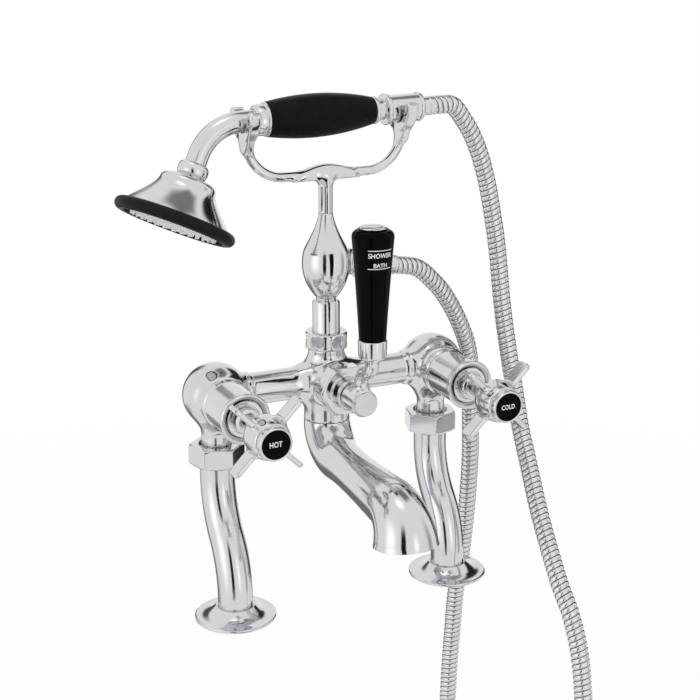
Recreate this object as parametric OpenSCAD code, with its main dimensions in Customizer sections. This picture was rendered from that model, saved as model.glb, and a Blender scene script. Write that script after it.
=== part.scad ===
/* [Setting out] */
// Distance between the hot and cold tap centres, and between the feet
tap_centres = 180; // [170:1:200]
// Height of the bar's axis above the deck
bar_height = 165; // [158:1:180]
// How far the body stands behind the feet, which is the crank of the legs
leg_crank = 32; // [26:1:38]

/* [Body casting] */
// Outside diameter of the bar between the two valves
bar_d = 24.2; // [21:0.2:25]
// Waterway along the bar
bar_bore = 12; // [9:0.5:13]
// Diameter of the ball behind each valve
ball_d = 48.4; // [46:0.2:50]
// Diameter of the barrel that holds each valve
barrel_d = 35; // [34.5:0.5:37]
// Distance from the bar's axis to the front of a barrel
barrel_reach = 58; // [56:0.5:62]
// Pocket in a barrel for the headwork
pocket_d = 24; // [23.5:0.1:24.5]
// Distance from the bar's axis to the floor of a pocket
pocket_floor = 9.5; // [9:0.1:11]
// Diameter of the upright hub at the middle of the bar
hub_d = 35; // [33:0.5:37]
// Diameter of the hub's neck under the ring nut
hub_neck_d = 28; // [27:0.5:29.5]
// Height of the hub's top face above the bar's axis
hub_rise = 21; // [20:0.5:24]
// Depth of the hub's lower face below the bar's axis
hub_drop = 31; // [30:0.5:37]
// Upright waterway through the hub
hub_bore = 16; // [13:0.5:18]
// Bore in the hub for the diverter plug
plug_bore = 25; // [24:0.5:26]
// Distance from the bar's axis to the face that the diverter bonnet seats on
boss_reach = 24; // [22:0.5:26]

/* [Unions and legs] */
// Outside diameter of a leg
leg_d = 26; // [24:0.2:27]
// Bore of a leg
leg_bore = 18; // [15:0.5:18.4]
// Inside diameter of the female thread in the foot of a leg
foot_thread_d = 18.6; // [18.5:0.1:19]
// Depth of that thread
foot_thread_l = 16; // [12:1:18]
// Height of the underside of the union nut above the deck
nut_z = 105; // [98:1:108]
// Width of the union nut across its flats
nut_across_flats = 36.4; // [34:0.2:37]
// Height of the union nut
nut_h = 22; // [20:0.5:24]
// Thread diameter of the union
union_thread_d = 30; // [29:0.2:30.6]
// Thickness of the union washer
washer_t = 2.6; // [2:0.1:3]
// Diameter of the deck flange round a foot
flange_d = 61; // [54:0.2:64]
// Height of the deck flange
flange_h = 9.5; // [8:0.5:12]
// Thickness of the gasket under a deck flange
gasket_t = 1.2; // [1:0.1:1.6]

/* [Spout] */
// Outside diameter of the spout just after its first bend
spout_d = 30.6; // [29:0.2:32]
// Outside diameter of the spout before it turns down
spout_end_d = 37.6; // [35:0.2:39]
// Outside diameter of the mouth
mouth_d = 47.4; // [44:0.2:48]
// Wall of the spout
spout_wall = 3; // [2:0.25:3.5]
// Distance from the hub's axis to the middle of the mouth
spout_reach = 133.5; // [120:0.5:145]
// Radius of the first bend
spout_bend = 26; // [24:0.2:28]
// Fall of the straight stretch, in degrees
spout_fall = 2.3; // [0:0.1:4]
// Heading of the mouth below level, in degrees
mouth_heading = 82; // [75:0.5:90]
// Length of the mouth's straight lip
mouth_lip_l = 5.5; // [4:0.5:7]
// How much the lip adds to the mouth's radius
mouth_lip_r = 1.2; // [0.6:0.1:1.8]

/* [Taps] */
// Distance from the bar's axis to the front of an index disc
handle_reach = 117.5; // [112:0.5:124]
// Distance from a tap's axis to the tip of a handle's arm
arm_reach = 35; // [30:0.5:38]
// Width of an arm, along the tap's axis
arm_w = 12.6; // [10:0.2:14]
// Thickness of an arm
arm_t = 3.8; // [2.6:0.1:4.4]
// Diameter of the handle's drum at its front
drum_d = 25.6; // [25:0.2:28]
// How much the drum swells where the arms leave it, on its radius
drum_swell = 2.6; // [1:0.1:3]
// Length of the handle's drum
drum_l = 21; // [18:0.5:24]
// Diameter of the black index disc
index_d = 20.4; // [18:0.2:20.8]
// Diameter of a tap's spindle
spindle_d = 9.6; // [8:0.2:10]
// Diameter of the ceramic discs
disc_d = 19; // [18:0.2:19.4]
// Thickness of a ceramic disc
disc_t = 3.4; // [3:0.1:3.8]
// Outside diameter of the shroud on a barrel's front
shroud_d = 37; // [36:0.2:39]

/* [Diverter] */
// Width of the bonnet across its flats
bonnet_across_flats = 36; // [35:0.2:38]
// Thickness of the bonnet's hexagon
bonnet_t = 12; // [10:0.5:13]
// Diameter of the gland in front of the bonnet
gland_d = 24; // [19:0.2:25]
// Distance from the bar's axis to the front of the lever's hub
lever_hub_reach = 69.5; // [68:0.5:72]
// Diameter of the lever's hub
lever_hub_d = 20.4; // [18:0.2:21]
// Diameter of the diverter spindle
diverter_spindle_d = 9; // [8:0.2:9.6]
// Diameter of the lever's arm
lever_arm_d = 10; // [9:0.2:11]
// Distance from the bar's axis to the lever's upright grip
lever_reach = 79; // [77:0.5:82]
// Height of the ferrule's lower edge above the bar's axis
lever_ferrule_rise = 37; // [35:0.5:40]
// Diameter of the lever's ferrule
lever_ferrule_d = 21; // [20:0.2:22]
// Height of the lever's ferrule
lever_ferrule_h = 15; // [12:0.5:17]
// Length of the lever's black grip
lever_grip_l = 80; // [66:0.5:84]
// Diameter of the lever's grip at its foot
lever_grip_d = 19.4; // [17:0.2:20]
// Diameter of the lever's grip at its widest
lever_grip_wide_d = 30; // [26:0.2:31]
// Diameter of the lever's cap
lever_cap_d = 20; // [17:0.2:20.4]

/* [Riser and cradle] */
// Height of the ring nut
ring_nut_h = 17; // [15:0.5:18]
// Diameter of the ring nut
ring_nut_d = 32.2; // [30:0.2:33]
// Diameter of the riser's shank
shank_d = 20.8; // [19:0.2:21]
// Height of the shank's top above the bar's axis
shank_rise = 62; // [60:0.5:64]
// Height of the bulb's widest place above the bar's axis
bulb_rise = 90; // [89:0.5:92]
// Diameter of the bulb
bulb_d = 36.4; // [33:0.2:38]
// Diameter of the waist under the bulb
waist_d = 14.4; // [13.4:0.2:15.4]
// Diameter of the stem above the bulb
stem_d = 10.6; // [9.6:0.2:12]
// Height of the yoke's bar above the bar's axis
yoke_rise = 156.8; // [154:0.2:162]
// Thickness of the yoke's bar
yoke_d = 7; // [6:0.2:8]
// Radius of the yoke's upward bends
yoke_bend = 28; // [26:0.5:29]
// Distance between the two forks
fork_span = 123; // [118:0.5:126]
// Thickness of a fork, along the handset
fork_t = 7; // [5:0.2:8]
// Width between the two prongs of a fork
fork_seat_d = 27.4; // [24:0.2:28]
// Wall of a fork round the handset
fork_wall = 5; // [4:0.2:6]
// Height of the prongs above the bottom of the fork's seat
prong_h = 16; // [12:0.5:18]

/* [Handset] */
// Diameter of the handset's neck
neck_d = 15.4; // [13.4:0.2:16]
// Radius of the neck's bend
neck_bend = 38; // [34:0.5:42]
// Angle that the neck turns through
neck_turn = 63.3; // [55:0.1:70]
// Roll of the handset in its cradle, towards the front
handset_roll = 9; // [0:0.5:15]
// Length of the black grip
grip_l = 83.5; // [80:0.5:92]
// Diameter of the grip's front end
grip_front_d = 25; // [22:0.2:26]
// Diameter of the grip's middle
grip_mid_d = 31.4; // [29:0.2:34]
// Diameter of the grip's rear end
grip_rear_d = 19.6; // [19:0.2:22]
// Diameter of the coupling's body
coupling_d = 20.2; // [18.6:0.2:21]
// Diameter of the coupling's front rim
coupling_rim_d = 23.4; // [21:0.2:24]
// Length of the coupling
coupling_l = 37; // [33:0.5:40]
// Diameter of the rose's black ring
rose_d = 88; // [80:0.5:94]
// Thickness of the rose's black ring
rose_ring_t = 9; // [7:0.2:10]
// Height of the rose's bell above the ring
bell_h = 28; // [25:0.5:32]
// Diameter of the bell's shoulder
shoulder_d = 41; // [35:0.5:42]
// Diameter of the rose's collar
collar_d = 22; // [20:0.2:24]
// Height of the rose's collar
collar_h = 10; // [8:0.5:12]

/* [Hose] */
// Outside diameter of the hose over its ribs
hose_d = 14; // [13:0.2:15]
// Bore of the hose
hose_bore = 8; // [7:0.2:9]
// Depth of the grooves between the ribs
rib_depth = 0.8; // [0.5:0.1:1.2]
// Number of ribs
rib_count = 180; // [120:10:200]

/* [Hidden] */
$fn = 64;

// Play between a turning or sliding piece and its housing
running = 0.05;
// Gap between pieces that pass or rest on each other
gap = 0.3;
// Play between fixed pieces that fit in each other
slack = 0.15;
// How far a cut runs past the face that it opens
over = 1;
// Width of the band over a seam in a bent tube, and how much it adds to the diameter
seam_w = 1.2;
seam_d = 0.3;

tap_x = tap_centres / 2;
body_y = leg_crank;
bar_z = bar_height;

// Body casting
hub_shoulder_rise = 10;
hub_taper = 4;
ball_ring_x = tap_x - ball_d / 2 - 0.3;
web_x = 10;
web_l = 16;

// Valve places, as distances in front of the bar's axis
seat_disc_front = pocket_floor + disc_t;
moving_disc_back = seat_disc_front + running;
moving_disc_front = moving_disc_back + disc_t;
driver_t = 4;
driver_front = moving_disc_front + driver_t;
flange_front = barrel_reach + 4;
bush_front = flange_front + 7;
headwork_flange_d = 27.2;
bush_d = 19.6;
shroud_t = 5;
shroud_hole_d = headwork_flange_d + 2 * gap;
seal_back = barrel_reach - 10;
seal_d = 1.8;
seal_groove = 2.2;

// Handle places, as distances in front of the bar's axis
bezel_l = 5;
bezel_back = handle_reach - bezel_l;
drum_back = bezel_back - drum_l;
hub_back_l = 10;
hub_back = drum_back - hub_back_l;
hub_back_d = 15;
spindle_front = drum_back + 9.5;
web_t = 5;
recess_floor = spindle_front + web_t;
screw_d = 4;
screw_head_d = 8;
screw_head_h = 3.2;
index_t = 2.5;
arm_middle = drum_back + arm_w / 2 + 1.5;

// Union and leg places, as heights above the deck
nut_lip = 4.6;
collar_t = 3;
leg_collar_z = nut_z + nut_lip;
union_face_z = leg_collar_z + collar_t;
tail_z = union_face_z + washer_t;
tail_neck_d = 22;
hot_nut_turn = -17;
cold_nut_turn = 14;
crank_foot_z = 16;
crank_top_z = nut_z - 3;

// Spout path
spout_root_z = bar_z - hub_drop;
spigot_d = 24.6;
spigot_h = 9;
mouth_y = body_y - spout_reach;
elbow_swell = 2.4;
elbow_shift = 1;

// Diverter places, as distances in front of the bar's axis
plug_l = 18;
bonnet_skirt_l = 9;
bonnet_front = boss_reach + bonnet_t;
gland_front = bonnet_front + 10.5;
lever_hub_back = gland_front + 0.7;
hub_cap_t = 2.5;
lever_hub_front = lever_hub_reach - hub_cap_t;
hub_cap_d = lever_hub_d - 2.2;
arm_base_reach = lever_hub_reach - 9;
lever_spindle_front = lever_hub_front - 4;
lever_bend_rise = 13;
arm_top_rise = lever_ferrule_rise - seam_w / 2;
grip_foot_rise = lever_ferrule_rise + lever_ferrule_h;
grip_top_rise = grip_foot_rise + lever_grip_l;
grip_shoulder = 5;
lever_rod_d = 6;
cap_h = 2;
rod_in_cap = 1;

// Riser places
ring_nut_z = bar_z + hub_rise;
shank_top_z = bar_z + shank_rise;
shank_depth = 8;
bulb_z = bar_z + bulb_rise;
waist_h = 1.5;
bulb_half = bulb_rise - shank_rise - waist_h;
bulb_inset = (bulb_d - waist_d) / 2;
bulb_arc = (bulb_half * bulb_half + bulb_inset * bulb_inset) / (2 * bulb_inset);
riser_top_z = bulb_z + 38;
riser_bore = 10;
dimple_d = 11.2;
dimple_turn = 10;
dimple_depth = 2.2;
dimple_count = 6;
stem_pin_d = 6;
stem_pin_l = 12;

// Hose outlet, on an axis that leaves the bulb to the cold side and a little downwards
outlet_rise = 3;
outlet_fall = 10;
outlet_boss_d = 20;
outlet_boss_reach = 21;
nipple_flange_t = 3;
nipple_thread_d = 19.6;
nipple_thread_l = 9;
nipple_spigot_d = 14;
nipple_spigot_l = 9;
nipple_bore = 10;
nipple_back = outlet_boss_reach;
nipple_front = nipple_back + nipple_flange_t + nipple_thread_l;
hose_washer_t = 1.8;
hose_nut_back = nipple_back + nipple_flange_t + gap;
hose_nut_front = 49;
hose_nut_d = 24;
hose_nut_taper = 14;
hose_tail_d = 12.4;
sleeve_d = 15;
hose_start = 58;

// Cradle places
yoke_z = bar_z + yoke_rise;
yoke_foot_x = fork_span / 2 - yoke_bend;
fork_seat_r = fork_seat_d / 2;
fork_seat_z = yoke_z + yoke_bend + 1 + fork_wall;
fork_middle_z = fork_seat_z + fork_seat_r;
fork_r = fork_seat_r + fork_wall;
gusset_h = 13;
hump_r = 30;
hump_rise = 7.4;
hump_t = 8;

// Handset places, along its own axis from the middle of the cradle
neck_axis_z = fork_seat_z + gap + neck_d / 2;
coupling_axis_z = fork_seat_z + gap + coupling_d / 2;
handset_z = (neck_axis_z + coupling_axis_z) / 2;
handset_tilt = asin((coupling_axis_z - neck_axis_z) / fork_span);
neck_bend_x = -(fork_span / 2 + fork_t / 2);
neck_bore = 11;
ferrule_gap = 2;
front_ferrule_x = ferrule_gap - (fork_span - fork_t) / 2;
front_ferrule_l = 10;
grip_x = front_ferrule_x + front_ferrule_l;
grip_end_x = grip_x + grip_l;
neck_end_x = grip_x - 1;
inner_tube_d = 12;
inner_tube_bore = 9;
rear_ferrule_l = 3;
rear_ferrule_d = 20.4;
coupling_x = grip_end_x + rear_ferrule_l;
coupling_rim_l = 3.5;
coupling_neck_l = 0.43 * ((fork_span - fork_t) / 2 - coupling_x - coupling_rim_l);
coupling_neck_d = 14.6;
coupling_bead_l = 2.6;
coupling_end_x = coupling_x + coupling_l;
inner_tube_end_x = coupling_x + coupling_neck_l + coupling_rim_l;
handset_sleeve_d = 14.6;
handset_sleeve_l = 8;
hose_end_x = coupling_end_x + handset_sleeve_l;

// Rose places, down its own axis from the end of the neck's bend
collar_top = 6.3;
bell_top = collar_top + collar_h;
ring_top = bell_top + bell_h;
ring_bottom = ring_top + rose_ring_t;
ring_inner_d = 72;
bell_wall = 1.8;
bell_foot_d = ring_inner_d + 4;
plate_t = 3;
mat_t = 1.2;
nozzle_d = 2.4;
nozzle_h = 2.4;
nozzle_rings = 4;
nozzle_pitch = 7.4;

// Route of the hose, from the bulb's outlet round the loop below the deck to the handset
outlet_dir = [cos(outlet_fall), 0, -sin(outlet_fall)];
outlet_origin = [0, body_y, bulb_z + outlet_rise];
handset_dir = [cos(handset_tilt), 0, sin(handset_tilt)];
handset_origin = [0, body_y, handset_z];
hose_first = outlet_origin + hose_start * outlet_dir;
hose_last = handset_origin + hose_end_x * handset_dir;
hose_loop = [
    [92, 32, 230], [106, 33, 212], [117, 34, 192], [125, 35, 171], [130, 38, 144], [132, 41, 110],
    [134, 43, 79], [134, 45, 47], [133, 47, 14], [131, 49, -17], [128, 51, -48], [126, 52, -85],
    [123, 51, -130], [120, 47, -185], [118, 37, -240], [117, 18, -292], [118, -14, -332], [122, -54, -348],
    [128, -92, -332], [133, -118, -292], [137, -130, -240], [140, -134, -185], [141, -131, -130],
    [142, -124, -80], [143, -114, -36], [142, -101, -6], [140, -86, 16], [140, -68, 41], [141, -50, 66],
    [143, -32, 93], [144, -16, 120], [145, -4, 147], [145, 8, 178], [144, 17, 212], [142, 24, 256],
    [138, 28, 288], [134, 30, 309], [127, 31, 331], [116, 32, 352]
];
function unit(v) = v / norm(v);

// A point between b and c on the smooth curve through a, b, c and d
function curve_point(a, b, c, d, t) =
    0.5 * (2 * b + (c - a) * t + (2 * a - 5 * b + 4 * c - d) * t * t + (3 * b - a - 3 * c + d) * t * t * t);

// The smooth curve through a list of points, which leaves and arrives in the given directions
function smooth_route(p, steps, first, last) =
    let (n = len(p) - 1)
    concat(
        [for (i = [0 : n - 1])
            let (a = i == 0 ? p[1] - 2 * norm(p[1] - p[0]) * first : p[i - 1])
            let (d = i == n - 1 ? p[n - 1] + 2 * norm(p[n] - p[n - 1]) * last : p[i + 2])
            for (k = [0 : steps - 1]) curve_point(a, p[i], p[i + 1], d, k / steps)],
        [p[n]]
    );

// Running length at each point of a list
function running_length(p) =
    [for (i = 0, s = 0; i < len(p); s = s + (i + 1 < len(p) ? norm(p[i + 1] - p[i]) : 0), i = i + 1) s];

// The index of the last length in a rising list that doesn't pass s
function stretch_at(lengths, s, low, high) =
    high - low <= 1 ? low :
    let (middle = floor((low + high) / 2))
    lengths[middle] <= s ? stretch_at(lengths, s, middle, high) : stretch_at(lengths, s, low, middle);

// The point at a running length along a list of points
function point_at(p, lengths, s) =
    let (i = stretch_at(lengths, s, 0, len(p) - 1))
    let (span = lengths[i + 1] - lengths[i])
    p[i] + (p[i + 1] - p[i]) * min(max((s - lengths[i]) / span, 0), 1);

// The direction at each point of a path, which leaves and arrives in the given directions
function path_directions(p, first, last) =
    [for (i = [0 : len(p) - 1])
        i == 0 ? first : i == len(p) - 1 ? last : unit(p[i + 1] - p[i - 1])];

// A direction across the path at each point, turned as little as possible from one to the next
function path_sides(t, start) =
    [for (i = 0, u = unit(start - (start * t[0]) * t[0]); i < len(t);
        i = i + 1, u = i < len(t) ? unit(u - (u * t[i]) * t[i]) : u) u];

// Points of round rings along a path, each with its own radius
function ring_points(p, t, u, radii, sides) =
    [for (i = [0 : len(p) - 1])
        let (w = cross(t[i], u[i]))
        for (k = [0 : sides - 1])
            p[i] + radii[i] * (cos(360 * k / sides) * u[i] + sin(360 * k / sides) * w)];

// Triangles between neighbouring rings that start at an index, turned inwards for a bore
function ring_faces(rings, sides, base, inwards) =
    [for (i = [0 : rings - 2])
        for (k = [0 : sides - 1])
            let (a = base + i * sides + k)
            let (b = base + i * sides + (k + 1) % sides)
            let (c = b + sides)
            let (d = a + sides)
            for (f = inwards ? [[a, b, c], [a, c, d]] : [[a, c, b], [a, d, c]]) f];

// Triangles that close the end between an outer and an inner ring
function end_faces(outer, inner, sides, flipped) =
    [for (k = [0 : sides - 1])
        let (j = (k + 1) % sides)
        for (f = flipped ? [[outer + k, inner + j, inner + k], [outer + k, outer + j, inner + j]]
                         : [[outer + k, inner + k, inner + j], [outer + k, inner + j, outer + j]]) f];

// A hollow tube from the rings of its outside and of its bore
module ringed_tube(outer_points, inner_points, sides) {
    outer_count = len(outer_points) / sides;
    inner_count = len(inner_points) / sides;
    inner_base = len(outer_points);
    polyhedron(
        points = concat(outer_points, inner_points),
        faces = concat(
            ring_faces(outer_count, sides, 0, false),
            ring_faces(inner_count, sides, inner_base, true),
            end_faces(0, inner_base, sides, true),
            end_faces((outer_count - 1) * sides, inner_base + (inner_count - 1) * sides, sides, false)
        )
    );
}

// Hose rings: two to a rib outside, and fewer in the bore
hose_sides = 8;
hose_curve = concat(
    [hose_first],
    smooth_route(
        concat([hose_first + hose_d * outlet_dir], hose_loop, [hose_last + hose_d * handset_dir]),
        8, outlet_dir, -handset_dir
    ),
    [hose_last]
);
hose_lengths = running_length(hose_curve);
hose_length = hose_lengths[len(hose_lengths) - 1];
hose_bore_rings = 90;
hose_outer_path = [for (j = [0 : 2 * rib_count])
    point_at(hose_curve, hose_lengths, hose_length * j / (2 * rib_count))];
hose_outer_radii = [for (j = [0 : 2 * rib_count]) hose_d / 2 - (j % 2 == 0 ? rib_depth : 0)];
hose_bore_path = [for (j = [0 : hose_bore_rings])
    point_at(hose_curve, hose_lengths, hose_length * j / hose_bore_rings)];
hose_bore_radii = [for (j = [0 : hose_bore_rings]) hose_bore / 2];

// Spout rings, each a height and depth of its middle, a heading below level and a radius
spout_sides = 36;
spout_steps = 9;
root_straight = 0.5;
inner_margin = 1.5;
bend_end_y = body_y - spout_bend * (1 - sin(spout_fall));
bend_end_z = spout_root_z - root_straight - spout_bend * cos(spout_fall);
mouth_root_r = mouth_d / 2 - mouth_lip_r;
mouth_pivot_y = mouth_y + (mouth_root_r + inner_margin) * sin(mouth_heading) + mouth_lip_l * cos(mouth_heading);
mouth_start = spout_end_d / 2 + inner_margin;
mouth_start_y = mouth_pivot_y - mouth_start * sin(spout_fall);
mouth_pivot_z = bend_end_z - tan(spout_fall) * (bend_end_y - mouth_start_y) - mouth_start * cos(spout_fall);
mouth_z = mouth_pivot_z + (mouth_root_r + inner_margin) * cos(mouth_heading) - mouth_lip_l * sin(mouth_heading);
function first_bend(k) =
    let (heading = 90 - (90 - spout_fall) * k / spout_steps)
    let (swell = sin(180 * k / spout_steps))
    let (bend = spout_bend - elbow_shift * swell)
    [body_y - spout_bend + bend * sin(heading), spout_root_z - root_straight - bend * cos(heading),
        heading, hub_d / 2 + (spout_d - hub_d) / 2 * k / spout_steps + elbow_swell * swell];
function last_bend(k) =
    let (heading = spout_fall + (mouth_heading - spout_fall) * k / spout_steps)
    let (r = spout_end_d / 2 + (mouth_root_r - spout_end_d / 2) * pow(k / spout_steps, 1.6))
    [mouth_pivot_y - (r + inner_margin) * sin(heading), mouth_pivot_z + (r + inner_margin) * cos(heading),
        heading, r];
function mouth_lip(share) =
    let (short = mouth_lip_l * (1 - share))
    [mouth_y + short * cos(mouth_heading), mouth_z + short * sin(mouth_heading), mouth_heading,
        mouth_root_r + mouth_lip_r * share * share];
spout_run = concat(
    [for (k = [0 : spout_steps]) first_bend(k)],
    [for (k = [0 : spout_steps]) last_bend(k)],
    [for (share = [0.4, 0.7, 1]) mouth_lip(share)]
);
spout_outer = concat(
    [[body_y, spout_root_z + spigot_h, 90, spigot_d / 2], [body_y, spout_root_z, 90, spigot_d / 2],
        [body_y, spout_root_z, 90, hub_d / 2]],
    spout_run
);
spout_inner = concat(
    [[body_y, spout_root_z + spigot_h, 90, spigot_d / 2 - spout_wall]],
    [for (s = spout_run) [s[0], s[1], s[2], s[3] - spout_wall
        - (s[0] > bend_end_y ? (hub_d / 2 - spigot_d / 2) * (s[2] - spout_fall) / (90 - spout_fall) : 0)]]
);
function spout_points(stations) =
    ring_points(
        [for (s = stations) [0, s[0], s[1]]],
        [for (s = stations) [0, -cos(s[2]), -sin(s[2])]],
        [for (s = stations) [1, 0, 0]],
        [for (s = stations) s[3]],
        spout_sides
    );

// A point on the curve from p to s that is drawn towards q and r
function bezier(p, q, r, s, t) =
    pow(1 - t, 3) * p + 3 * pow(1 - t, 2) * t * q + 3 * (1 - t) * t * t * r + t * t * t * s;
function bezier_points(p, q, r, s, steps) = [for (k = [0 : steps]) bezier(p, q, r, s, k / steps)];

// The middle of the circle through three points
function circle_middle(a, b, c) =
    let (d = 2 * (a[0] * (b[1] - c[1]) + b[0] * (c[1] - a[1]) + c[0] * (a[1] - b[1])))
    let (aa = a * a)
    let (bb = b * b)
    let (cc = c * c)
    [(aa * (b[1] - c[1]) + bb * (c[1] - a[1]) + cc * (a[1] - b[1])) / d,
        (aa * (c[0] - b[0]) + bb * (a[0] - c[0]) + cc * (b[0] - a[0])) / d];

// Frames: a tap's axis and the diverter's axis point forwards, the outlet's axis out of the bulb
module at_tap(side) {
    translate([side * tap_x, body_y, bar_z]) rotate([90, 0, 0]) children();
}

module at_hub() {
    translate([0, body_y, bar_z]) rotate([90, 0, 0]) children();
}

module at_outlet() {
    translate(outlet_origin) rotate([0, 90 + outlet_fall, 0]) children();
}

module at_mouth() {
    translate([0, mouth_y, mouth_z]) rotate([mouth_heading - 90, 0, 0]) children();
}

module at_lever(rise) {
    translate([0, body_y - lever_reach, bar_z + rise]) children();
}

module at_handset() {
    translate(handset_origin) rotate([0, -handset_tilt, 0]) rotate([-handset_roll, 0, 0]) children();
}

module along_handset(x) {
    at_handset() translate([x, 0, 0]) rotate([0, 90, 0]) children();
}

module at_rose() {
    at_handset()
        translate([neck_bend_x - neck_bend * sin(neck_turn), 0, -neck_bend * (1 - cos(neck_turn))])
            rotate([0, 90 - neck_turn, 0]) children();
}

// A ring of round section
module torus(middle_r, section_d) {
    rotate_extrude() translate([middle_r, 0]) circle(d = section_d);
}

// A fine band over the place where two stretches of tube meet
module seam(d) {
    translate([0, 0, -seam_w / 2]) cylinder(d = d + seam_d, h = seam_w);
}

// One bend of a tube, from an angle and through a turn, a little short of the seams at its ends
module bend_stretch(bend, from, turn, d) {
    trim = seam_w / 4 / bend * 180 / PI;
    rotate([0, 0, from + trim]) rotate_extrude(angle = turn - 2 * trim) translate([bend, 0]) circle(d = d);
}

// A tube of two equal bends that rises and moves sideways to the right
module s_bend(offset, rise, d) {
    bend = (offset * offset + rise * rise) / (4 * offset);
    turn = 2 * atan(offset / rise);
    rotate([90, 0, 0]) {
        translate([bend, 0, 0]) bend_stretch(bend, 180 - turn, turn, d);
        translate([offset - bend, rise, 0]) bend_stretch(bend, -turn, turn, d);
    }
    seam(d);
    translate([offset / 2, 0, rise / 2]) rotate([0, turn, 0]) seam(d);
    translate([offset, 0, rise]) seam(d);
}

module mixer_body() {
    color("silver") difference() {
        union() {
            translate([-tap_x, body_y, bar_z]) rotate([0, 90, 0]) cylinder(d = bar_d, h = tap_centres);
            translate([0, body_y, bar_z - hub_drop]) cylinder(d = hub_d, h = hub_drop + hub_shoulder_rise);
            translate([0, body_y, bar_z + hub_shoulder_rise])
                cylinder(d1 = hub_d, d2 = hub_neck_d, h = hub_taper);
            translate([0, body_y, bar_z]) cylinder(d = hub_neck_d, h = hub_rise);
            at_hub() cylinder(d = plug_bore + 9, h = boss_reach);
            for (side = [-1, 1]) {
                translate([side * tap_x, body_y, bar_z]) sphere(d = ball_d);
                at_tap(side) cylinder(d = barrel_d, h = barrel_reach);
                at_tap(side) translate([0, 0, 24.5]) torus(barrel_d / 2 - 0.6, 4.6);
                translate([side * ball_ring_x, body_y, bar_z]) rotate([0, 90, 0]) torus(bar_d / 2 - 0.5, 4);
                translate([side * web_x, body_y, bar_z]) rotate([0, side * 90, 0])
                    cylinder(d1 = bar_d + 6, d2 = bar_d - 0.4, h = web_l);
                translate([side * tap_x, body_y, tail_z]) cylinder(d = union_thread_d, h = 10);
                translate([side * tap_x, body_y, tail_z]) cylinder(d = tail_neck_d, h = bar_z - tail_z);
            }
        }
        translate([12 - tap_x, body_y, bar_z]) rotate([0, 90, 0])
            cylinder(d = bar_bore, h = tap_centres - 24);
        translate([0, body_y, spout_root_z - over]) cylinder(d = hub_bore, h = hub_drop + hub_rise + 2 * over);
        translate([0, body_y, spout_root_z - over])
            cylinder(d = spigot_d + 2 * slack, h = spigot_h + washer_t + over);
        translate([0, body_y, ring_nut_z - shank_depth])
            cylinder(d = shank_d + 2 * slack, h = shank_depth + over);
        at_hub() translate([0, 0, -plug_l / 2 - gap])
            cylinder(d = plug_bore, h = boss_reach + plug_l / 2 + gap + over);
        for (side = [-1, 1]) {
            at_tap(side) translate([0, 0, pocket_floor])
                cylinder(d = pocket_d, h = barrel_reach - pocket_floor + over);
            at_tap(side) translate([-side * 12, 0, 0]) cylinder(d = 9, h = pocket_floor + 9);
            at_tap(side) cylinder(d = 8, h = pocket_floor + over);
            translate([side * tap_x, body_y, tail_z - over]) cylinder(d = 14, h = bar_z + 5 - tail_z + over);
        }
    }
}

module spout() {
    color("silver") ringed_tube(spout_points(spout_outer), spout_points(spout_inner), spout_sides);
}

module spout_flow_straightener() {
    t = 1.6;
    pitch = 5.5;
    color("gainsboro") at_mouth() translate([0, 0, mouth_lip_l - t]) difference() {
        cylinder(d = 2 * (mouth_root_r - spout_wall) - 0.4, h = t);
        for (ring = [1 : 3], k = [0 : 6 * ring - 1])
            rotate([0, 0, k * 60 / ring]) translate([ring * pitch, 0, -over])
                cylinder(d = 3.6, h = t + 2 * over);
    }
}

module spout_seal() {
    color("dimgray") translate([0, body_y, spout_root_z + spigot_h]) difference() {
        cylinder(d = spigot_d - 0.4, h = washer_t);
        translate([0, 0, -over]) cylinder(d = spigot_d - 2 * spout_wall + 0.6, h = washer_t + 2 * over);
    }
}

module leg(side) {
    difference() {
        translate([side * tap_x, 0, 0]) {
            cylinder(d = leg_d, h = crank_foot_z);
            translate([0, 0, crank_foot_z]) rotate([0, 0, 90])
                s_bend(leg_crank, crank_top_z - crank_foot_z, leg_d);
            translate([0, body_y, crank_top_z]) cylinder(d = leg_d, h = union_face_z - crank_top_z);
            translate([0, body_y, leg_collar_z]) cylinder(d = union_thread_d - 0.8, h = collar_t);
        }
        translate([side * tap_x, 0, 0]) {
            translate([0, 0, -over]) cylinder(d = foot_thread_d, h = foot_thread_l - 2 + over);
            cylinder(d = leg_bore, h = crank_foot_z);
            translate([0, 0, crank_foot_z]) rotate([0, 0, 90])
                s_bend(leg_crank, crank_top_z - crank_foot_z, leg_bore);
            translate([0, body_y, crank_top_z]) cylinder(d = leg_bore, h = union_face_z - crank_top_z + over);
        }
    }
}

module hot_leg() {
    color("silver") leg(-1);
}

module cold_leg() {
    color("silver") leg(1);
}

module union_nut(side, turn) {
    translate([side * tap_x, body_y, nut_z]) rotate([0, 0, turn]) difference() {
        intersection() {
            cylinder(d = nut_across_flats / cos(30), h = nut_h, $fn = 6);
            translate([0, 0, -nut_across_flats * 0.23])
                cylinder(d1 = nut_across_flats * 0.6, d2 = nut_across_flats * 2.6, h = nut_across_flats);
            translate([0, 0, nut_h - nut_across_flats * 0.77])
                cylinder(d1 = nut_across_flats * 2.6, d2 = nut_across_flats * 0.6, h = nut_across_flats);
        }
        translate([0, 0, -over]) cylinder(d = leg_d + 0.8, h = nut_h + 2 * over);
        translate([0, 0, nut_lip]) cylinder(d = union_thread_d + 2 * slack, h = nut_h);
    }
}

module hot_union_nut() {
    color("silver") union_nut(-1, hot_nut_turn);
}

module cold_union_nut() {
    color("silver") union_nut(1, cold_nut_turn);
}

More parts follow.
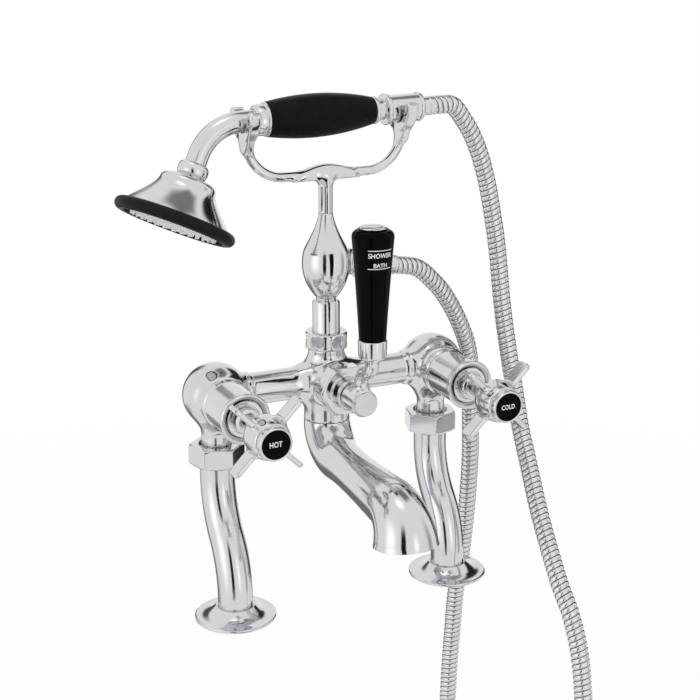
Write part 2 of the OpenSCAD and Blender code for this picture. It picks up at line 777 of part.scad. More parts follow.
module union_washers() {
    color("dimgray") for (side = [-1, 1])
        translate([side * tap_x, body_y, union_face_z]) difference() {
            cylinder(d = union_thread_d - 0.8, h = washer_t);
            translate([0, 0, -over]) cylinder(d = leg_bore + 0.6, h = washer_t + 2 * over);
        }
}

module deck_flange(side) {
    rim = 2.4;
    top_r = leg_d / 2 + 1.8;
    run = flange_d / 2 + 2 - top_r;
    climb = flange_h - rim;
    arc = (run * run + climb * climb) / (2 * climb);
    translate([side * tap_x, 0, 0]) rotate_extrude() difference() {
        translate([leg_d / 2 + slack, 0]) square([flange_d / 2 - leg_d / 2 - slack, flange_h]);
        translate([flange_d / 2 + 2, rim + arc]) circle(r = arc, $fn = 128);
        translate([leg_d / 2 + 2.6, -over]) square([flange_d / 2 - leg_d / 2 - 5.6, gasket_t + over]);
    }
}

module hot_deck_flange() {
    color("silver") deck_flange(-1);
}

module cold_deck_flange() {
    color("silver") deck_flange(1);
}

module deck_gaskets() {
    color("dimgray") for (side = [-1, 1])
        translate([side * tap_x, 0, 0]) difference() {
            cylinder(d = flange_d - 6.4, h = gasket_t);
            translate([0, 0, -over]) cylinder(d = leg_d + 5.6, h = gasket_t + 2 * over);
        }
}

module headwork(side) {
    at_tap(side) difference() {
        union() {
            translate([0, 0, seat_disc_front])
                cylinder(d = pocket_d - 2 * slack, h = barrel_reach - seat_disc_front);
            translate([0, 0, barrel_reach]) cylinder(d = headwork_flange_d, h = flange_front - barrel_reach);
            translate([0, 0, flange_front]) cylinder(d = bush_d, h = bush_front - flange_front - 1.5);
            translate([0, 0, bush_front - 1.5]) cylinder(d1 = bush_d, d2 = bush_d - 3, h = 1.5);
        }
        translate([0, 0, seat_disc_front - over])
            cylinder(d = disc_d + 2 * gap, h = driver_front + gap + over - seat_disc_front);
        translate([0, 0, pocket_floor]) cylinder(d = spindle_d + 2 * running, h = bush_front);
        translate([0, 0, seat_disc_front + 3]) rotate([0, 90, 0]) translate([0, 0, -pocket_d])
            cylinder(d = 5, h = 2 * pocket_d);
        translate([0, 0, seal_back]) difference() {
            cylinder(d = pocket_d + over, h = seal_groove);
            translate([0, 0, -over])
                cylinder(d = pocket_d - 2 * slack - 2 * seal_d - 0.2, h = seal_groove + 2 * over);
        }
    }
}

module hot_headwork() {
    color("darkkhaki") headwork(-1);
}

module cold_headwork() {
    color("darkkhaki") headwork(1);
}

module fixed_discs() {
    color("white") for (side = [-1, 1])
        at_tap(side) translate([0, 0, pocket_floor]) difference() {
            cylinder(d = pocket_d - 1, h = disc_t);
            translate([0, 4.6, -over]) cylinder(d = 6, h = disc_t + 2 * over);
            translate([0, -4.6, -over]) cylinder(d = 6, h = disc_t + 2 * over);
        }
}

module headwork_seals() {
    color("dimgray") for (side = [-1, 1])
        at_tap(side) translate([0, 0, seal_back + seal_groove / 2])
            torus(pocket_d / 2 - slack - seal_d / 2 - 0.05, seal_d);
}

module shroud(side) {
    at_tap(side) translate([0, 0, barrel_reach]) difference() {
        union() {
            cylinder(d1 = barrel_d, d2 = shroud_d, h = 2);
            translate([0, 0, 2]) cylinder(d = shroud_d, h = shroud_t - 2);
        }
        translate([0, 0, -over]) cylinder(d = shroud_hole_d, h = shroud_t + 2 * over);
        translate([0, 0, shroud_t - 3.2]) cylinder(d1 = shroud_hole_d - 2, d2 = shroud_d - 1, h = 3.3);
    }
}

module hot_shroud() {
    color("silver") shroud(-1);
}

module cold_shroud() {
    color("silver") shroud(1);
}

module spindle(side) {
    at_tap(side) difference() {
        union() {
            translate([0, 0, moving_disc_front]) cylinder(d = disc_d - 1, h = driver_t);
            translate([0, 0, moving_disc_front]) cylinder(d = spindle_d, h = spindle_front - moving_disc_front);
        }
        translate([0, 0, spindle_front - 8]) cylinder(d = screw_d + 2 * slack, h = 8 + over);
    }
}

module hot_spindle() {
    color("darkkhaki") spindle(-1);
}

module cold_spindle() {
    color("darkkhaki") spindle(1);
}

module moving_disc(side) {
    at_tap(side) translate([0, 0, moving_disc_back]) difference() {
        cylinder(d = disc_d, h = disc_t);
        rotate([0, 0, 90]) translate([0, 4.6, -over]) cylinder(d = 6, h = disc_t - 1 + over);
        rotate([0, 0, 90]) translate([0, -4.6, -over]) cylinder(d = 6, h = disc_t - 1 + over);
    }
}

module hot_moving_disc() {
    color("white") moving_disc(-1);
}

module cold_moving_disc() {
    color("white") moving_disc(1);
}

module crosshead_blade() {
    tip_r = 4;
    translate([0, arm_t / 2, arm_middle]) rotate([90, 0, 0]) linear_extrude(arm_t) {
        translate([0, -arm_w / 2]) square([arm_reach - tip_r, arm_w]);
        translate([0, tip_r - arm_w / 2]) square([arm_reach, arm_w - 2 * tip_r]);
        for (edge = [-1, 1]) translate([arm_reach - tip_r, edge * (arm_w / 2 - tip_r)]) circle(r = tip_r);
    }
}

// Half of a handle's drum, from its neck through its widest place to its front
module drum_outline() {
    wide_r = drum_d / 2 + drum_swell;
    wide_z = arm_middle + 1;
    polygon(concat(
        [[0, hub_back]],
        bezier_points([hub_back_d / 2, hub_back], [hub_back_d / 2, hub_back + 9], [wide_r, wide_z - 13],
            [wide_r, wide_z], 7),
        [for (k = [1 : 5]) bezier([wide_r, wide_z], [wide_r, wide_z + 6], [drum_d / 2 + 0.8, bezel_back - 1],
            [drum_d / 2, bezel_back], k / 5)],
        [[0, bezel_back]]
    ));
}

module crosshead(side) {
    at_tap(side) difference() {
        union() {
            rotate_extrude() drum_outline();
            for (k = [0 : 3]) rotate([0, 0, 45 + 90 * k]) crosshead_blade();
        }
        translate([0, 0, hub_back - over])
            cylinder(d = spindle_d + 2 * running, h = spindle_front - hub_back + over);
        translate([0, 0, hub_back]) cylinder(d = screw_d + 2 * slack, h = recess_floor - hub_back + over);
        translate([0, 0, recess_floor]) cylinder(d = drum_d - 4.4, h = bezel_back - recess_floor + over);
    }
}

module hot_crosshead() {
    color("silver") crosshead(-1);
}

module cold_crosshead() {
    color("silver") crosshead(1);
}

module handle_screw(side) {
    at_tap(side) difference() {
        union() {
            translate([0, 0, spindle_front - 7]) cylinder(d = screw_d, h = recess_floor - spindle_front + 7);
            translate([0, 0, recess_floor]) cylinder(d = screw_head_d, h = screw_head_h);
        }
        translate([-0.6, -screw_head_d / 2 - over, recess_floor + screw_head_h - 1])
            cube([1.2, screw_head_d + 2 * over, 2]);
    }
}

module hot_handle_screw() {
    color("gray") handle_screw(-1);
}

module cold_handle_screw() {
    color("gray") handle_screw(1);
}

module index_disc(side) {
    at_tap(side) translate([0, 0, handle_reach - index_t]) cylinder(d = index_d, h = index_t);
}

module hot_index_disc() {
    color("black") index_disc(-1);
}

module cold_index_disc() {
    color("black") index_disc(1);
}

module index_bezel(side) {
    at_tap(side) translate([0, 0, bezel_back]) difference() {
        union() {
            cylinder(d = drum_d - 1, h = bezel_l - 0.4);
            translate([0, 0, bezel_l - 0.4]) cylinder(d1 = drum_d - 1, d2 = drum_d - 2.6, h = 0.9);
        }
        translate([0, 0, -over]) cylinder(d = index_d - 3, h = bezel_l + 3);
        translate([0, 0, bezel_l - index_t]) cylinder(d = index_d + 2 * slack, h = bezel_l);
    }
}

module hot_index_bezel() {
    color("silver") index_bezel(-1);
}

module cold_index_bezel() {
    color("silver") index_bezel(1);
}

module diverter_bonnet() {
    color("silver") at_hub() difference() {
        union() {
            translate([0, 0, boss_reach - bonnet_skirt_l])
                cylinder(d = plug_bore - 2 * slack, h = bonnet_skirt_l);
            translate([0, 0, boss_reach]) intersection() {
                cylinder(d = bonnet_across_flats / cos(30), h = bonnet_t, $fn = 6);
                translate([0, 0, bonnet_t - bonnet_across_flats * 0.77])
                    cylinder(d1 = bonnet_across_flats * 2.6, d2 = bonnet_across_flats * 0.6,
                        h = bonnet_across_flats);
            }
            translate([0, 0, bonnet_front]) cylinder(d = gland_d, h = gland_front - bonnet_front - 1.2);
            translate([0, 0, gland_front - 1.2]) cylinder(d1 = gland_d, d2 = gland_d - 2.4, h = 1.2);
        }
        cylinder(d = diverter_spindle_d + 2 * running, h = gland_front + over);
        translate([0, 0, boss_reach - 5]) cylinder(d = diverter_spindle_d + 2 * seal_d + 0.8, h = seal_groove);
    }
}

module diverter_seal() {
    color("dimgray") at_hub() translate([0, 0, boss_reach - 5 + seal_groove / 2])
        torus(diverter_spindle_d / 2 + seal_d / 2 + 0.2, seal_d);
}

module diverter_spindle() {
    color("darkkhaki") at_hub() translate([0, 0, plug_l / 2])
        cylinder(d = diverter_spindle_d, h = lever_spindle_front - plug_l / 2);
}

module diverter_plug() {
    color("darkkhaki") at_hub() difference() {
        translate([0, 0, -plug_l / 2]) cylinder(d = plug_bore - 2 * gap, h = plug_l);
        rotate([0, 90, 0]) translate([0, 0, -plug_bore]) cylinder(d = 9, h = 2 * plug_bore);
        rotate([-90, 0, 0]) cylinder(d = 10, h = plug_bore);
    }
}

module lever_arm() {
    color("silver") difference() {
        union() {
            at_hub() translate([0, 0, lever_hub_back])
                cylinder(d1 = lever_hub_d - 3, d2 = lever_hub_d, h = 1.5);
            at_hub() translate([0, 0, lever_hub_back + 1.5])
                cylinder(d = lever_hub_d, h = lever_hub_front - lever_hub_back - 3.5);
            at_hub() translate([0, 0, lever_hub_front - 2])
                cylinder(d1 = lever_hub_d, d2 = lever_hub_d - 1.6, h = 2);
            translate([0, body_y - arm_base_reach, bar_z]) cylinder(d = lever_arm_d, h = lever_bend_rise);
            translate([0, body_y - arm_base_reach, bar_z + lever_bend_rise]) rotate([0, 0, -90])
                s_bend(lever_reach - arm_base_reach, arm_top_rise - lever_bend_rise, lever_arm_d);
            at_lever(arm_top_rise) cylinder(d = lever_rod_d, h = grip_top_rise - arm_top_rise + rod_in_cap);
        }
        at_hub() translate([0, 0, lever_hub_back - over])
            cylinder(d = diverter_spindle_d + 2 * slack, h = lever_spindle_front - lever_hub_back + over);
    }
}

module lever_hub_cap() {
    color("silver") at_hub() translate([0, 0, lever_hub_front]) {
        cylinder(d = hub_cap_d, h = hub_cap_t - 0.6);
        translate([0, 0, hub_cap_t - 0.6]) cylinder(d1 = hub_cap_d, d2 = hub_cap_d - 1.2, h = 0.6);
    }
}

module lever_ferrule() {
    color("silver") at_lever(lever_ferrule_rise) difference() {
        union() {
            cylinder(d1 = lever_arm_d + 4, d2 = lever_ferrule_d, h = 2.5);
            translate([0, 0, 2.5]) cylinder(d = lever_ferrule_d, h = lever_ferrule_h - 2.5);
        }
        translate([0, 0, -over]) cylinder(d = lever_rod_d + 2 * slack, h = lever_ferrule_h + 2 * over);
    }
}

module lever_grip() {
    lean = atan((lever_grip_wide_d - lever_grip_d) / 2 / (lever_grip_l - grip_shoulder - 1));
    mid_r = lever_grip_wide_d / 2 - grip_shoulder;
    mid_z = lever_grip_l - grip_shoulder - 1;
    bore_r = lever_rod_d / 2 + slack;
    color([0.05, 0.05, 0.05]) at_lever(grip_foot_rise) rotate_extrude() {
        polygon([
            [bore_r, 0], [lever_grip_d / 2, 0],
            [mid_r + grip_shoulder * cos(lean), mid_z - grip_shoulder * sin(lean)],
            [mid_r, mid_z], [mid_r, lever_grip_l], [bore_r, lever_grip_l]
        ]);
        translate([mid_r, mid_z]) intersection() {
            circle(r = grip_shoulder);
            translate([-over, -over]) square(2 * grip_shoulder);
        }
    }
}

module lever_cap() {
    dome = (lever_cap_d * lever_cap_d / 4 + cap_h * cap_h) / (2 * cap_h);
    color("silver") at_lever(grip_top_rise) difference() {
        intersection() {
            cylinder(d = lever_cap_d + over, h = cap_h + over);
            translate([0, 0, cap_h - dome]) sphere(r = dome);
        }
        translate([0, 0, -over]) cylinder(d = lever_rod_d + 2 * slack, h = rod_in_cap + over);
    }
}

module riser() {
    onion_z = 7.5;
    onion_step = 0.1;
    onion_r = bulb_d / 2 - bulb_arc + sqrt(bulb_arc * bulb_arc - onion_z * onion_z) - onion_step;
    color("silver") difference() {
        union() {
            translate([0, body_y, 0]) rotate([0, 0, 140]) rotate_extrude() {
                translate([0, ring_nut_z - shank_depth])
                    square([shank_d / 2, shank_rise - hub_rise + shank_depth]);
                translate([0, shank_top_z]) square([waist_d / 2, waist_h]);
                translate([0, shank_top_z + waist_h]) intersection() {
                    translate([bulb_d / 2 - bulb_arc, bulb_half]) circle(r = bulb_arc, $fn = 128);
                    square([bulb_d, bulb_half + onion_z]);
                }
                translate([0, bulb_z]) polygon(concat(
                    [[0, onion_z]],
                    bezier_points([onion_r, onion_z], [onion_r - 3, onion_z + 10],
                        [stem_d / 2 + 2.2, onion_z + 17.5], [stem_d / 2, riser_top_z - bulb_z], 9),
                    [[0, riser_top_z - bulb_z]]
                ));
            }
            at_outlet() cylinder(d = outlet_boss_d, h = outlet_boss_reach);
        }
        translate([0, body_y, ring_nut_z - shank_depth - over])
            cylinder(d = riser_bore, h = bulb_z + 6 - ring_nut_z + shank_depth + over);
        translate([0, body_y, riser_top_z - stem_pin_l])
            cylinder(d = stem_pin_d + 2 * slack, h = stem_pin_l + over);
        at_outlet() cylinder(d = 8, h = outlet_boss_reach + over);
        at_outlet() translate([0, 0, outlet_boss_reach - nipple_spigot_l])
            cylinder(d = nipple_spigot_d + 2 * slack, h = nipple_spigot_l + over);
        translate([0, body_y, ring_nut_z - shank_depth + 2.5]) difference() {
            cylinder(d = shank_d + over, h = seal_groove);
            translate([0, 0, -over]) cylinder(d = shank_d - 2 * seal_d - 0.2, h = seal_groove + 2 * over);
        }
    }
}

module riser_ring_nut() {
    color("silver") translate([0, body_y, ring_nut_z]) difference() {
        union() {
            cylinder(d1 = ring_nut_d - 2, d2 = ring_nut_d, h = 1);
            translate([0, 0, 1]) cylinder(d = ring_nut_d, h = ring_nut_h - 3);
            translate([0, 0, ring_nut_h - 2]) cylinder(d1 = ring_nut_d, d2 = ring_nut_d - 4, h = 2);
        }
        translate([0, 0, -over]) cylinder(d = shank_d + 2 * slack, h = ring_nut_h + 2 * over);
        for (k = [0 : dimple_count - 1]) rotate([90, 0, dimple_turn + k * 360 / dimple_count])
            translate([0, ring_nut_h / 2 - 0.5, ring_nut_d / 2 - dimple_depth])
                cylinder(d = dimple_d, h = dimple_depth + over);
    }
}

module riser_seal() {
    color("dimgray") translate([0, body_y, ring_nut_z - shank_depth + 2.5 + seal_groove / 2])
        torus(shank_d / 2 - seal_d / 2 - 0.05, seal_d);
}

module yoke_half() {
    translate([yoke_foot_x, body_y, yoke_z + yoke_bend]) rotate([90, 0, 0]) rotate([0, 0, -90])
        rotate_extrude(angle = 90) translate([yoke_bend, 0]) circle(d = yoke_d);
    translate([fork_span / 2, body_y, yoke_z + yoke_bend]) cylinder(d = yoke_d, h = fork_wall);
    translate([fork_span / 2 - fork_t / 2, body_y, fork_middle_z]) rotate([90, 0, 90]) linear_extrude(fork_t)
        difference() {
            union() {
                circle(r = fork_r);
                translate([-fork_r, 0]) square([2 * fork_r, prong_h]);
                polygon([[-0.85 * fork_r, -fork_r / 2], [-yoke_d / 2, -fork_r - gusset_h],
                    [yoke_d / 2, -fork_r - gusset_h], [0.85 * fork_r, -fork_r / 2]]);
            }
            circle(r = fork_seat_r);
            translate([-fork_seat_r, 0]) square(2 * fork_seat_r);
            translate([-2 * fork_seat_r, prong_h - fork_seat_r]) square(4 * fork_seat_r);
        }
}

module cradle_yoke() {
    color("silver") union() {
        translate([0, body_y, riser_top_z - stem_pin_l + gap]) cylinder(d = stem_pin_d, h = stem_pin_l);
        translate([0, body_y, riser_top_z]) cylinder(d = stem_d, h = yoke_z - riser_top_z);
        translate([0, body_y, yoke_z - 9]) cylinder(d1 = stem_d - 0.6, d2 = stem_d + 5, h = 9);
        translate([-yoke_foot_x, body_y, yoke_z]) rotate([0, 90, 0]) cylinder(d = yoke_d, h = 2 * yoke_foot_x);
        translate([0, body_y, yoke_z]) intersection() {
            translate([0, hump_t / 2, hump_rise - hump_r]) rotate([90, 0, 0])
                cylinder(r = hump_r, h = hump_t);
            translate([-hump_r, -hump_t, -1]) cube([2 * hump_r, 2 * hump_t, hump_r]);
        }
        yoke_half();
        mirror([1, 0, 0]) yoke_half();
    }
}

module hose_outlet_nipple() {
    color("silver") at_outlet() difference() {
        union() {
            translate([0, 0, nipple_back - nipple_spigot_l + gap])
                cylinder(d = nipple_spigot_d, h = nipple_spigot_l);
            translate([0, 0, nipple_back]) cylinder(d = outlet_boss_d, h = nipple_flange_t);
            translate([0, 0, nipple_back]) cylinder(d = nipple_thread_d, h = nipple_front - nipple_back);
        }
        cylinder(d = nipple_bore, h = nipple_front + over);
    }
}

module outlet_check_valve() {
    color("white") at_outlet() translate([0, 0, nipple_back - 4]) difference() {
        cylinder(d = nipple_bore - 0.2, h = 12);
        translate([0, 0, -over]) cylinder(d = 4, h = 12 + 2 * over);
    }
}

module outlet_hose_washer() {
    color("dimgray") at_outlet() translate([0, 0, nipple_front]) difference() {
        cylinder(d = nipple_thread_d - 0.6, h = hose_washer_t);
        translate([0, 0, -over]) cylinder(d = hose_bore, h = hose_washer_t + 2 * over);
    }
}

module outlet_hose_nut() {
    color("silver") at_outlet() difference() {
        union() {
            translate([0, 0, hose_nut_back])
                cylinder(d = hose_nut_d, h = hose_nut_front - hose_nut_taper - hose_nut_back);
            translate([0, 0, hose_nut_front - hose_nut_taper])
                cylinder(d1 = hose_nut_d, d2 = sleeve_d + 1.4, h = hose_nut_taper);
        }
        translate([0, 0, hose_nut_back - over])
            cylinder(d = nipple_thread_d + 2 * slack, h = nipple_front + hose_washer_t - hose_nut_back + over);
        translate([0, 0, hose_nut_back]) cylinder(d = hose_tail_d + 2 * slack, h = hose_nut_front);
    }
}

module outlet_hose_sleeve() {
    color("silver") at_outlet() difference() {
        union() {
            translate([0, 0, nipple_front + hose_washer_t])
                cylinder(d = hose_tail_d, h = hose_nut_front - nipple_front - hose_washer_t);
            translate([0, 0, hose_nut_front]) cylinder(d = sleeve_d, h = hose_start - hose_nut_front);
        }
        translate([0, 0, nipple_front]) cylinder(d = hose_bore, h = hose_start);
    }
}

module hose() {
    outer_t = path_directions(hose_outer_path, outlet_dir, -handset_dir);
    bore_t = path_directions(hose_bore_path, outlet_dir, -handset_dir);
    color("lightgray") ringed_tube(
        ring_points(hose_outer_path, outer_t, path_sides(outer_t, [0, 1, 0]), hose_outer_radii, hose_sides),
        ring_points(hose_bore_path, bore_t, path_sides(bore_t, [0, 1, 0]), hose_bore_radii, hose_sides),
        hose_sides
    );
}

module handset_hose_sleeve() {
    color("silver") along_handset(coupling_end_x) difference() {
        union() {
            translate([0, 0, -8]) cylinder(d = 9.8, h = 8);
            cylinder(d = handset_sleeve_d, h = handset_sleeve_l);
        }
        translate([0, 0, -8 - over]) cylinder(d = hose_bore, h = handset_sleeve_l + 8 + 2 * over);
    }
}

module neck_tube(d, extra) {
    along_handset(neck_bend_x) cylinder(d = d, h = neck_end_x - neck_bend_x + extra);
    along_handset(neck_bend_x) seam(d);
    at_handset() translate([neck_bend_x, 0, -neck_bend]) rotate([90, 0, 0])
        bend_stretch(neck_bend, 90, neck_turn, d);
    at_rose() seam(d);
    at_rose() translate([0, 0, -collar_top - 4 - extra]) cylinder(d = d, h = collar_top + 4 + extra);
}

module handset_neck() {
    color("silver") difference() {
        neck_tube(neck_d, 0);
        neck_tube(neck_bore, over);
    }
}

module handset_inner_tube() {
    color("darkkhaki") along_handset(neck_end_x) difference() {
        cylinder(d = inner_tube_d, h = inner_tube_end_x - neck_end_x);
        translate([0, 0, -over]) cylinder(d = inner_tube_bore, h = inner_tube_end_x - neck_end_x + 2 * over);
    }
}

module handset_front_ferrule() {
    rim_r = grip_front_d / 2 - 0.2;
    rim_l = 2.6;
    color("silver") along_handset(front_ferrule_x) rotate_extrude() polygon(concat(
        [[neck_d / 2 + slack, 0]],
        bezier_points([neck_d / 2 + 1.4, 0], [rim_r - 1.4, 0.4], [rim_r - 0.8, 3],
            [rim_r - 0.8, front_ferrule_l - rim_l], 6),
        [[rim_r, front_ferrule_l - rim_l], [rim_r, front_ferrule_l],
            [inner_tube_d / 2 + slack, front_ferrule_l], [inner_tube_d / 2 + slack, front_ferrule_l - 1],
            [neck_d / 2 + slack, front_ferrule_l - 1]]
    ));
}

module handset_grip() {
    middle = circle_middle([grip_front_d / 2, 0], [grip_mid_d / 2, 41], [grip_rear_d / 2, grip_l]);
    color([0.05, 0.05, 0.05]) along_handset(grip_x) rotate_extrude() intersection() {
        translate(middle) circle(r = norm(middle - [grip_front_d / 2, 0]), $fn = 128);
        translate([inner_tube_d / 2 + slack, 0]) square([grip_mid_d, grip_l]);
    }
}

module handset_rear_ferrule() {
    color("silver") along_handset(grip_end_x) difference() {
        cylinder(d = rear_ferrule_d, h = rear_ferrule_l);
        translate([0, 0, -over]) cylinder(d = inner_tube_d + 2 * slack, h = rear_ferrule_l + 2 * over);
    }
}

module handset_coupling() {
    rim_x = coupling_neck_l;
    body_x = coupling_neck_l + coupling_rim_l;
    color("silver") along_handset(coupling_x) difference() {
        union() {
            cylinder(d = coupling_neck_d, h = coupling_neck_l + over);
            translate([0, 0, rim_x]) cylinder(d = coupling_rim_d, h = coupling_rim_l);
            translate([0, 0, body_x]) cylinder(d = coupling_d, h = coupling_l - body_x - 1);
            translate([0, 0, coupling_l - 1]) cylinder(d1 = coupling_d, d2 = coupling_d - 2, h = 1);
            translate([0, 0, coupling_l - 1 - coupling_bead_l])
                cylinder(d = coupling_d + 1.6, h = coupling_bead_l);
        }
        translate([0, 0, -over]) cylinder(d = 10, h = coupling_l + 2 * over);
        translate([0, 0, -over]) cylinder(d = inner_tube_d + 2 * slack, h = body_x + over);
    }
}

module rose_bell() {
    shoulder = 6;
    outside = concat(
        bezier_points([collar_d / 2, 0], [collar_d / 2 + 5, 0], [shoulder_d / 2, 1.5],
            [shoulder_d / 2, shoulder], 5),
        bezier_points([shoulder_d / 2, shoulder], [shoulder_d / 2 + 1.4, 12],
            [bell_foot_d / 2 - 5.5, bell_h - 7], [bell_foot_d / 2, bell_h], 8)
    );
    inside = bezier_points([shoulder_d / 2 - bell_wall, shoulder], [shoulder_d / 2 + 1.2 - bell_wall, 12],
        [bell_foot_d / 2 - 5.5 - bell_wall, bell_h - 7], [bell_foot_d / 2 - bell_wall - 1, bell_h], 6);
    color("silver") at_rose() rotate([180, 0, 0]) translate([0, 0, bell_top]) rotate_extrude() polygon(concat(
        [[neck_d / 2 + slack, -collar_h], [collar_d / 2 - 1, -collar_h], [collar_d / 2, 1 - collar_h]],
        [for (k = [0 : len(outside) - 1]) if (k != 5) outside[k]],
        [for (k = [len(inside) - 1 : -1 : 0]) inside[k]],
        [[neck_bore / 2, 3], [neck_bore / 2, 4 - collar_h], [neck_d / 2 + slack, 4 - collar_h]]
    ));
}

module rose_ring() {
    color([0.05, 0.05, 0.05]) at_rose() translate([0, 0, -ring_bottom]) rotate_extrude() {
        translate([ring_inner_d / 2, 0]) square([rose_d / 2 - rose_ring_t / 2 - ring_inner_d / 2, rose_ring_t]);
        translate([rose_d / 2 - rose_ring_t / 2, rose_ring_t / 2]) intersection() {
            circle(d = rose_ring_t);
            translate([0, -rose_ring_t]) square(2 * rose_ring_t);
        }
    }
}

module at_nozzles() {
    children();
    for (ring = [1 : nozzle_rings], k = [0 : 6 * ring - 1])
        rotate([0, 0, k * 60 / ring]) translate([ring * nozzle_pitch, 0, 0]) children();
}

module rose_spray_plate() {
    color("whitesmoke") at_rose() translate([0, 0, mat_t + nozzle_h - ring_bottom]) difference() {
        cylinder(d = ring_inner_d - 2 * slack, h = plate_t);
        at_nozzles() translate([0, 0, -over]) cylinder(d = 1.2, h = plate_t + 2 * over);
    }
}

module rose_nozzles() {
    color("lightgray") at_rose() translate([0, 0, -ring_bottom]) difference() {
        union() {
            translate([0, 0, nozzle_h]) cylinder(d = ring_inner_d - 4, h = mat_t);
            at_nozzles() cylinder(d1 = nozzle_d - 0.6, d2 = nozzle_d, h = nozzle_h + 0.1);
        }
        at_nozzles() translate([0, 0, -over]) cylinder(d = 1, h = nozzle_h + mat_t + 2 * over);
    }
}

mixer_body();
spout();
spout_flow_straightener();
spout_seal();
hot_leg();
cold_leg();
hot_union_nut();
cold_union_nut();
union_washers();
hot_deck_flange();
cold_deck_flange();
deck_gaskets();
hot_headwork();
cold_headwork();
fixed_discs();
headwork_seals();
hot_shroud();
cold_shroud();
hot_spindle();
hot_moving_disc();
hot_crosshead();
hot_handle_screw();
hot_index_disc();
hot_index_bezel();
cold_spindle();
cold_moving_disc();
cold_crosshead();
cold_handle_screw();
cold_index_disc();
cold_index_bezel();
diverter_bonnet();
diverter_seal();
diverter_spindle();
diverter_plug();
lever_arm();
lever_hub_cap();
lever_ferrule();
lever_grip();
lever_cap();
riser();
riser_ring_nut();
riser_seal();
cradle_yoke();
hose_outlet_nipple();
outlet_check_valve();
outlet_hose_washer();
outlet_hose_nut();
outlet_hose_sleeve();
hose();
handset_hose_sleeve();
handset_neck();
handset_inner_tube();
handset_front_ferrule();
handset_grip();
handset_rear_ferrule();
handset_coupling();
rose_bell();
rose_ring();
rose_spray_plate();
rose_nozzles();
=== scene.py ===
import math

import bpy
import numpy as np
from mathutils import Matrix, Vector


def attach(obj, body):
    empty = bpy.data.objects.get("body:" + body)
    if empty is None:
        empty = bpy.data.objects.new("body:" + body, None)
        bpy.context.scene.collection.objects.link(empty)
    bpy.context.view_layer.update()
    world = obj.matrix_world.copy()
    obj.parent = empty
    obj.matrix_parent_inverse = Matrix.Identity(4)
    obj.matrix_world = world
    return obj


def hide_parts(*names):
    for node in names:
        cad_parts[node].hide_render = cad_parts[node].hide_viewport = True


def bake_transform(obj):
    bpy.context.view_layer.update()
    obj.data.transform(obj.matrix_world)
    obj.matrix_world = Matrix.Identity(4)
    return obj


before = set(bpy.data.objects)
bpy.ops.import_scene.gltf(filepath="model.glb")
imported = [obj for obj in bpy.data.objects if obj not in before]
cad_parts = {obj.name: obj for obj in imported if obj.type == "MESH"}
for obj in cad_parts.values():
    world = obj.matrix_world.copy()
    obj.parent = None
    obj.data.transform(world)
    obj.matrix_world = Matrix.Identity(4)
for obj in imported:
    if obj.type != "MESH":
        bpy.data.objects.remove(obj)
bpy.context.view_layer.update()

# Sizes in millimetres, as in the part's source
MM = 0.001
TAP_X = 90.0
BODY_Y = 32.0
BAR_Z = 165.0
NUT_Z = 105.0
HUB_R = 17.5
SPOUT_Z = 134.0
BULB_Z = 255.0
OUTLET_Z = BULB_Z + 3
OUTLET_FALL = 10.0
RING_NUT_Z = 186.0
RISER_TOP_Z = 293.0
YOKE_Z = 321.8
FORK_X = 61.5
FORK_SEAT_R = 13.7
FORK_MIDDLE_Z = YOKE_Z + 34 + FORK_SEAT_R
FORK_TOP_Z = YOKE_Z + 50
HANDSET_Z = 365.0
HANDSET_TILT = 1.118
HANDSET_ROLL = 9.0
NECK_BEND_X = -65.0
NECK_BEND = 38.0
NECK_TURN = 63.3
MOUTH_Y = -101.5
MOUTH_HEADING = 82.0
HOSE_D = 14.0
HOSE_START = 58.0
HOSE_END = 85.5


def sind(a):
    return math.sin(math.radians(a))


def cosd(a):
    return math.cos(math.radians(a))


def new_object(name, data):
    o = bpy.data.objects.new(name, data)
    bpy.context.scene.collection.objects.link(o)
    return o


# Camera at the photograph's viewing angle
camera_data = bpy.data.cameras.new("camera")
camera_data.sensor_width = 36.0
camera_data.lens = 75.93
camera_data.clip_end = 20.0
camera = new_object("camera", camera_data)
camera.location = (-0.43995, -0.94176, 0.51194)
camera.rotation_euler = (math.radians(73.1), 0.0, math.radians(-25.27))
bpy.context.scene.camera = camera
bpy.context.scene.view_settings.view_transform = "Standard"


# Frames: each takes points of a local frame to the row frame, in millimetres
def rotated(p, axis, angle):
    c, s = cosd(angle), sind(angle)
    x, y, z = p[:, 0], p[:, 1], p[:, 2]
    if axis == "x":
        return np.stack([x, c * y - s * z, s * y + c * z], 1)
    if axis == "y":
        return np.stack([c * x + s * z, y, c * z - s * x], 1)
    return np.stack([c * x - s * y, s * x + c * y, z], 1)


def at(x, y, z):
    return lambda p: p + np.array([x, y, z])


def forward(x):
    """A frame whose z axis points forwards from the bar's axis at x."""
    return lambda p: rotated(p, "x", 90) + np.array([x, BODY_Y, BAR_Z])


def outlet(p):
    """The frame of the hose outlet, whose z axis runs out of the bulb."""
    return rotated(p, "y", 90 + OUTLET_FALL) + np.array([0, BODY_Y, OUTLET_Z])


def handset(p):
    """The frame of the handset, whose x axis runs along its grip to the hose."""
    p = rotated(rotated(p, "x", -HANDSET_ROLL), "y", -HANDSET_TILT)
    return p + np.array([0, BODY_Y, HANDSET_Z])


def along_handset(p):
    """The same place with the z axis along the grip."""
    return handset(rotated(p, "y", 90))


def rose(p):
    """The frame of the rose, whose z axis points back into the neck."""
    end = np.array([NECK_BEND_X - NECK_BEND * sind(NECK_TURN), 0, -NECK_BEND * (1 - cosd(NECK_TURN))])
    return handset(rotated(p, "y", 90 - NECK_TURN) + end)


